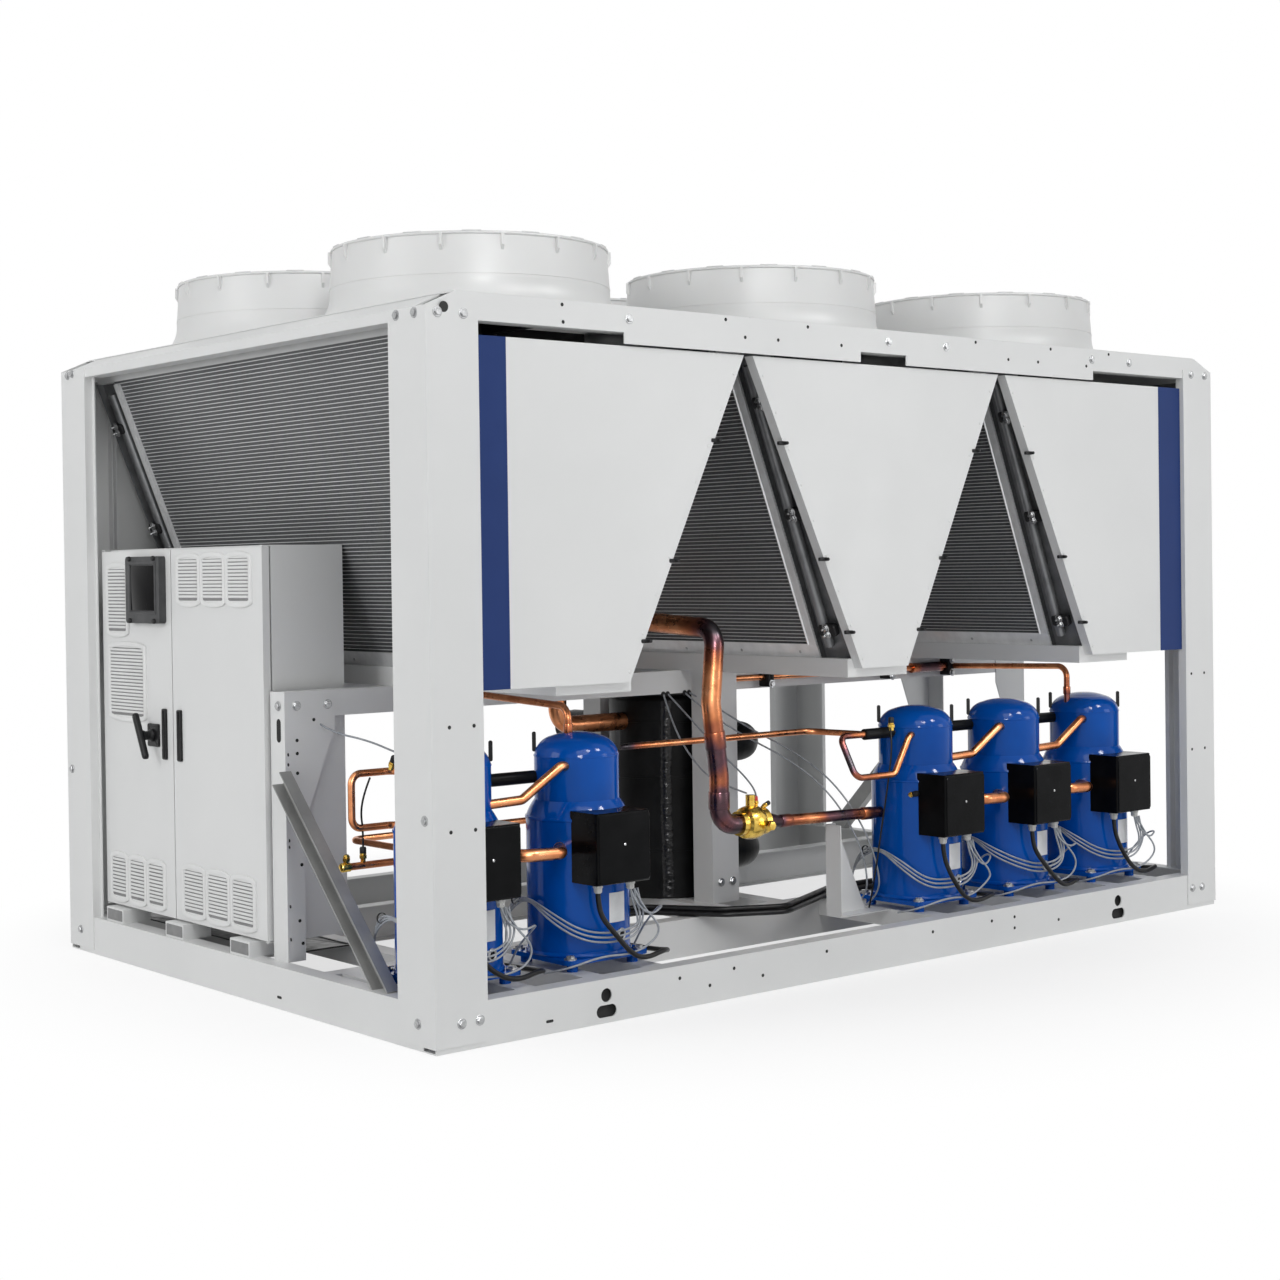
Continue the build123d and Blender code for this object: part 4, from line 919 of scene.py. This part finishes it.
finish_nodes(gloss_black, "terminal_boxes")
lid = pressed(
    rounded(0.192, 0.200, 0.010), [(0, -0.002), (0, 0.0016), (0.0016, 0.0032), (0.010, 0.0034)],
)
lid_screw = turned([(0.0042, 0.003), (0.0042, 0.0044), (0.0030, 0.0052)], 14)
gland = turned([(0.0150, 0.0), (0.0150, 0.010), (0.0125, 0.012), (0.0125, 0.022), (0.0095, 0.026)], 8)
box_shift, box_face_y, box_z = -0.010, -1.0875, 0.493
lid_places = [facing(front, (x + box_shift, box_face_y, box_z)) for x in compressor_x]
lid_screw_places = [place @ Matrix.Translation((0.0, 0.01, 0)) for place in lid_places]
piece("box_lids", copies(lid, lid_places), gloss_black)
piece("lid_screws", copies(lid_screw, lid_screw_places), zinc)
gland_y, box_foot = -1.045, 0.388
gland_white = finish(
    "white_nylon", {"IOR": 1.5}, ((30.0,), (0.55, 0.55, 0.53), (0.66, 0.66, 0.64)),
    ((60.0,), 0.35, 0.45),
)
gland_places = [
    facing((0, 0, -1), (x + dx, gland_y, box_foot), (0, 1, 0))
    for x in compressor_x for dx in (-0.078, 0.045)
]
piece("cable_glands", copies(gland, gland_places), gland_white)


# Refrigerant lines: drawn copper, darkened and tinted violet and straw by the brazing flame
# round every joint, with swaged sleeves at the joints and black foam on the short returns.
suction_y, loop_y = -0.8265, -0.5265
brazed_at = [
    (-0.512, suction_y, 0.700), (-0.483, suction_y, 0.540), (-0.490, suction_y, 1.115),
    (-0.440, suction_y, 0.478), (-0.240, suction_y, 0.474), (0.060, suction_y, 0.462),
    (-1.050, suction_y, 0.760), (0.300, suction_y, 0.460), (1.262, compressor_y, 0.760),
    (0.034, -0.900, 0.668), (1.150, -0.276, 0.908), (-0.652, loop_y, 0.725),
]
copper = shader("drawn_copper", {"Metallic": 1.0})
copper_tree = copper.node_tree
spot = copper_tree.nodes.new("ShaderNodeTexCoord")
heat = 0.0
for place in brazed_at:
    away = copper_tree.nodes.new("ShaderNodeVectorMath")
    away.operation = "DISTANCE"
    away.inputs[1].default_value = place
    copper_tree.links.new(spot.outputs["Object"], away.inputs[0])
    near = dialled(
        copper_tree.nodes.new("ShaderNodeMapRange"),
        {"From Min": 0.028, "From Max": 0.150, "To Min": 1.0, "To Max": 0.0},
    )
    copper_tree.links.new(away.outputs["Value"], near.inputs["Value"])
    heat = reckoned(copper_tree, "MAXIMUM", heat, near.outputs["Result"])
blotch = reckoned(copper_tree, "MULTIPLY", grain(copper, 17.0, 2.5), 0.56)
patchy = reckoned(copper_tree, "MULTIPLY_ADD", heat, 0.62, blotch)
coloured(copper, patchy, [
    (0.16, (0.70, 0.310, 0.150)), (0.32, (0.55, 0.205, 0.088)), (0.48, (0.40, 0.135, 0.058)),
    (0.64, (0.25, 0.078, 0.045)), (0.80, (0.105, 0.050, 0.060)), (0.95, (0.045, 0.040, 0.045)),
])
ranged(copper, grain(copper, 30.0, 4.0), 0.20, 0.42)
relief(copper, grain(copper, 90.0, 3.0), 0.00012)
finish_nodes(copper, "copper_lines", "suction_line", "suction_branches")

brass = finish(
    "machined_brass", {"Metallic": 1.0}, ((40.0, 4.0), (0.52, 0.33, 0.055), (0.80, 0.56, 0.13)),
    ((120.0,), 0.16, 0.30), ((200.0, 2.0, (6, 1, 1)), 0.00006),
)
finish_nodes(brass, "suction_valve")


def sleeve(radius, length):
    """A swaged socket with rounded lips round a tube."""
    return ring([
        (radius - 0.001, -length / 2), (radius + 0.0018, -length / 2 + 0.001),
        (radius + 0.0026, -length / 2 + 0.004),
        (radius + 0.0026, length / 2 - 0.004), (radius + 0.0018, length / 2 - 0.001),
        (radius - 0.001, length / 2),
    ], 40)


def sleeves(radius, length, spans):
    """Sleeves of one size, each at a place and along a direction."""
    return copies(sleeve(radius, length), [
        Matrix.Translation(place) @ Vector(way).to_track_quat("Z", "Y").to_matrix().to_4x4()
        for place, way in spans
    ])


pairs = [(compressor_x[i], compressor_x[i + 1]) for i in (0, 2, 3)]
equal_spans = [((x + 0.135, -0.962, 0.491), (0.65, -0.76, 0)) for x, _ in pairs]
piece(
    "swaged_sockets",
    together(
        sleeves(
            0.032, 0.058,
            [((-0.496, suction_y, 0.755), (0.131, 0, -0.991)), ((-0.482, suction_y, 0.560), (0, 0, 1))],
        ),
        sleeves(
            0.019, 0.050,
            [((-0.190, suction_y, 0.4695), (1, 0, -0.02)), ((0.200, suction_y, 0.4600), (1, 0, -0.02))],
        ),
        sleeves(
            0.011, 0.030,
            [
                ((-1.118, compressor_y, 0.832), (0, 0, 1)), ((1.262, compressor_y, 0.832), (0, 0, 1)),
                ((0.60, -0.2765, 0.908), (1, 0, 0)),
            ],
        ),
        sleeves(0.019, 0.034, equal_spans),
    ),
    copper,
)

cap_red = finish(
    "red_cap", {"IOR": 1.5}, ((20.0,), (0.45, 0.012, 0.012), (0.60, 0.022, 0.020)),
    ((60.0,), 0.30, 0.40),
)
port_body = [
    (0.0085, 0.0), (0.0085, 0.010), (0.0120, 0.011), (0.0120, 0.020), (0.0095, 0.021), (0.0075, 0.030),
]
port = together(turned(port_body, 6), turned([(0.0100, 0.022), (0.0100, 0.026)], 18))
port_cap = turned([(0.0095, 0.024), (0.0100, 0.026), (0.0100, 0.041), (0.0080, 0.045)], 14)
valve_ports = [
    facing(way, place, (0, 1, 0)) @ Matrix.Scale(0.75, 4)
    for way, place in (
        ((-0.2, -0.1, 0.97), (-0.318, suction_y, 0.529)),
        ((0.9, -0.2, 0.5), (-0.296, -0.8290, 0.522)),
    )
]
loop_ports = [
    facing((0, -0.5, 0.9), (-1.560, -0.560, 0.722), (0, 1, 0)),
    facing((0, 0, 1), (-1.640, loop_y, 0.450), (0, 1, 0)),
    facing((0, 0, 1), (0.250, -0.900, 0.745), (0, 1, 0)),
    facing((0.2, -1, 0.2), (0.298, -0.926, 0.522)),
    facing((0.0, -0.2, 1), (-1.700, loop_y, 0.448), (0, 1, 0)),
    facing((0, -0.6, 1), (-1.420, -0.620, 0.724), (0, 1, 0)),
]
piece("service_ports", copies(port, valve_ports + loop_ports), brass)
piece("red_caps", copies(port_cap, valve_ports[:1]), cap_red)
piece("black_caps", copies(port_cap, valve_ports[1:] + loop_ports[:4]), rubber)
stem_cap = turned([(0.0175, 0.0), (0.0175, 0.020), (0.0150, 0.024), (0.0060, 0.025)], 6)
stem_place = facing(front, (-0.330, -0.8925, 0.472))
piece("valve_cap", set_at(stem_cap, stem_place), brass)
end_cap = turned([(0.0140, -0.012), (0.0140, 0.014), (0.0115, 0.018), (0.0050, 0.019)], 20)
end_place = facing(left, (-1.700, loop_y, 0.440))
piece("pipe_end_cap", set_at(end_cap, end_place), brass)

foam = finish(
    "black_foam", {"Specular IOR Level": 0.10},
    ((9.0, 4.0), (0.0045, 0.0048, 0.0052), (0.0120, 0.0124, 0.0130)),
    ((7.0, 3.0), 0.30, 0.50), ((14.0, 4.0, (1, 1, 0.5)), 0.0030),
)
foam_sleeve = turned(
    [(0.0150, 0), (0.0190, 0.003), (0.0195, 0.120), (0.0190, 0.237), (0.0150, 0.240)], 28,
)
piece(
    "foam_sleeves",
    together(
        set_at(
            turned([(0.0150, 0), (0.0190, 0.003), (0.0190, 0.135), (0.0150, 0.138)], 28),
            facing(right, (0.150, -0.866, 0.735)),
        ),
        *[
            set_at(foam_sleeve, facing(right, ((first + second) / 2 - 0.120, -0.800, z)))
            for (first, second), z in zip(pairs, (0.690, 0.730, 0.730))
        ],
    ),
    foam,
)

hanger = together(
    set_at(
        pressed(rounded(0.030, 0.070, 0.006), [(0, 0), (0, 0.050), (0.003, 0.054), (0.010, 0.055)]),
        Matrix.Translation((0, 0, -0.004)),
    ),
    set_at(
        pressed(rounded(0.034, 0.010, 0.003), [(0, 0.054), (0, 0.058)]),
        Matrix.Translation((0, 0.037, -0.025)),
    ),
)
hanger_places = [facing(front, (x, -0.2560, 0.908)) for x in (0.260, 0.900, 1.245)]
piece("pipe_clamps", copies(hanger, hanger_places), rubber)
hanger_bolts = [
    place @ Matrix.Translation((0, dy, 0.052)) for place in hanger_places for dy in (-0.024, 0.024)
]
piece("pipe_clamp_bolts", copies(bolt, hanger_bolts), zinc)


# Vessel: the heat exchanger under black foam, glued in bands and taped up the front seam, with
# its insulated water pipes behind.
finish_nodes(foam, "evaporator_vessel", "water_pipes")
tape = finish(
    "foam_tape", {"Specular IOR Level": 0.35}, ((8.0,), (0.006, 0.006, 0.007), (0.020, 0.020, 0.022)),
    ((20.0,), 0.14, 0.30), ((18.0, 2.0, (1, 1, 2.5)), 0.0060),
)
vessel_x, vessel_radius, seam_angle, rows = 0.009, 0.205, -2.27, 60
levels = np.linspace(0.135, 0.835, rows)[:, None]
wander = (0.10 * np.sin(levels * 9.0) + 0.035 * np.sin(levels * 41.0)) * 0.12
turn = seam_angle + wander + np.array([0.10, 0.066, 0.0, -0.066, -0.10])
out = vessel_radius + np.array([0.0002, 0.0032, 0.0046, 0.0032, 0.0002])
tape_front = np.stack(
    np.broadcast_arrays(vessel_x + out * np.cos(turn), out * np.sin(turn), levels), -1,
).reshape(-1, 3)
tape_back = (tape_front - (vessel_x, 0, 0)) * (0.985, 0.985, 1) + (vessel_x, 0, 0)
piece("vessel_tape", walled(tape_front, tape_back, rows, 5), tape)
hoop = ring([(0.2045, -0.004), (0.2062, -0.003), (0.2066, 0.0), (0.2062, 0.003), (0.2045, 0.004)])
hoop_places = [Matrix.Translation((vessel_x, 0, z)) for z in (0.300, 0.560, 0.760)]
piece("vessel_seams", copies(hoop, hoop_places), foam)


# Wiring: heavy black cables from the terminal boxes to the base bundle, and thin grey sensor
# leads that loop round the shells and are tied to the frame.
jacket = finish(
    "cable_jacket", {"Specular IOR Level": 0.2},
    ((40.0,), (0.007, 0.007, 0.008), (0.016, 0.016, 0.017)),
    ((50.0,), 0.30, 0.45),
)
grey_jacket = finish(
    "grey_lead", {"IOR": 1.5}, ((40.0,), (0.26, 0.28, 0.31), (0.36, 0.38, 0.41)),
    ((60.0,), 0.36, 0.48),
)


def tube(name, routes, radius, surface):
    """Round bars or cables: each a smooth curve drawn by its control points."""
    curve = bpy.data.curves.new(name, "CURVE")
    curve.dimensions = "3D"
    curve.bevel_depth = radius
    curve.bevel_resolution = 3
    curve.use_fill_caps = True
    for route in routes:
        spline = curve.splines.new("NURBS")
        spline.points.add(len(route) - 1)
        for point, place in zip(spline.points, route):
            point.co = (*place, 1)
        spline.order_u = 3
        spline.use_endpoint_u = True
        spline.resolution_u = 8
    made = bpy.data.objects.new(name, curve)
    curve.materials.append(surface)
    scene.collection.objects.link(made)
    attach(made, "frame")


heavy, thin = [], []
for number, x in enumerate(compressor_x):
    drop, lean = 0.012 * (number % 3), 0.020 * (number % 2)
    heavy.append([
        (x - 0.078, -1.045, 0.364), (x - 0.078, -1.046, 0.335), (x - 0.070, -1.052, 0.290),
        (x - 0.045 + lean, -1.062, 0.235),
        (x + 0.010 + lean, -1.066, 0.180 - drop / 2), (x + 0.090, -1.058, 0.150),
        (x + 0.190, -1.035, 0.162), (x + 0.245, -0.985, 0.146), (x + 0.250, -0.900, 0.138),
        (x + 0.235, -0.720, 0.137), (x + 0.235, -0.600, 0.137),
    ])
    for lane in range(3):
        offset = 0.014 * lane
        thin.append([
            (x + 0.045 + offset, -1.045, 0.362), (x + 0.048 + offset, -1.050, 0.330),
            (x + 0.062 + offset, -1.056, 0.285),
            (x + 0.045 + lean, -1.056, 0.250 - offset), (x - 0.030, -1.040, 0.236 - offset),
            (x - 0.110, -1.000, 0.262 - offset - drop),
            (x - 0.170, -0.930, 0.305 - offset), (x - 0.185, -0.850, 0.340),
            (x - 0.175, -0.760, 0.330 - offset), (x - 0.150, -0.690, 0.250),
            (x - 0.130, -0.660, 0.150), (x - 0.130, -0.640, 0.136),
        ])
    thin.append([
        (x + 0.046, -1.046, 0.362), (x + 0.052, -1.060, 0.320), (x + 0.105, -1.070, 0.290 - drop),
        (x + 0.170, -1.050, 0.300),
        (x + 0.200, -0.985, 0.270 + drop), (x + 0.190, -0.920, 0.210), (x + 0.205, -0.860, 0.140),
    ])
    thin.append([
        (x + 0.060, -1.046, 0.362), (x + 0.075, -1.062, 0.310), (x + 0.140, -1.072, 0.245),
        (x + 0.120, -1.068, 0.190 + drop),
        (x + 0.040, -1.060, 0.170), (x - 0.070, -1.052, 0.178), (x - 0.190, -1.030, 0.150),
        (x - 0.215, -0.960, 0.134),
    ])
tube("power_cables", heavy, 0.0078, jacket)
tube("sensor_leads", thin, 0.0032, grey_jacket)
tube(
    "hanging_leads",
    [
        [
            (-0.20, -0.258, 0.868), (-0.19, -0.300, 0.830), (-0.205, -0.420, 0.760),
            (-0.230, -0.560, 0.680), (-0.245, -0.700, 0.610), (-0.285, -0.800, 0.560),
            (-0.318, -0.822, 0.545),
        ],
        [
            (-0.22, -0.258, 0.868), (-0.23, -0.300, 0.800), (-0.260, -0.400, 0.700),
            (-0.290, -0.560, 0.600), (-0.335, -0.740, 0.580), (-0.350, -0.815, 0.572),
        ],
        [
            (-0.12, -0.258, 0.868), (-0.08, -0.330, 0.800), (-0.02, -0.450, 0.720),
            (0.06, -0.600, 0.640), (0.12, -0.720, 0.540), (0.17, -0.800, 0.400),
            (0.20, -0.830, 0.260), (0.22, -0.800, 0.160), (0.21, -0.740, 0.134),
        ],
        [
            (-0.10, -0.258, 0.868), (-0.05, -0.340, 0.820), (0.01, -0.460, 0.740),
            (0.09, -0.610, 0.660), (0.14, -0.740, 0.560), (0.19, -0.820, 0.420),
            (0.23, -0.850, 0.280), (0.25, -0.840, 0.180), (0.24, -0.780, 0.134),
        ],
        [
            (-1.62, -0.250, 0.850), (-1.60, -0.300, 0.820), (-1.55, -0.420, 0.800),
            (-1.50, -0.520, 0.760), (-1.47, -0.600, 0.735),
        ],
    ],
    0.0030, grey_jacket,
)
grommet = turned([(0.0092, 0.0), (0.0092, 0.0030), (0.0074, 0.0050), (0.0045, 0.0052)], 20)
grommet_places = [facing(front, (x, -0.2565, 0.868)) for x in (-0.200, -0.220, -0.120, -0.100)]
piece("lead_grommets", copies(grommet, grommet_places), rubber)
tube(
    "black_leads",
    [
        [
            (0.245, -0.900, 0.760), (0.240, -0.915, 0.700), (0.225, -0.905, 0.560),
            (0.215, -0.880, 0.400), (0.205, -0.860, 0.250), (0.215, -0.820, 0.134),
        ],
        [
            (-1.640, loop_y, 0.480), (-1.640, -0.530, 0.540), (-1.652, -0.535, 0.600),
            (-1.640, -0.540, 0.660), (-1.620, -0.540, 0.700),
        ],
    ],
    0.0030, jacket,
)
finish_nodes(jacket, "wiring")
tie = ring([(0.0140, -0.003), (0.0158, -0.003), (0.0158, 0.003), (0.0140, 0.003)], 24)
tie_places = [
    Matrix.Translation((x - 0.176, -0.775, 0.325)) @ Matrix.Rotation(math.pi / 2, 4, "X")
    for x in compressor_x
]
piece("cable_ties", copies(tie, tie_places), rubber)
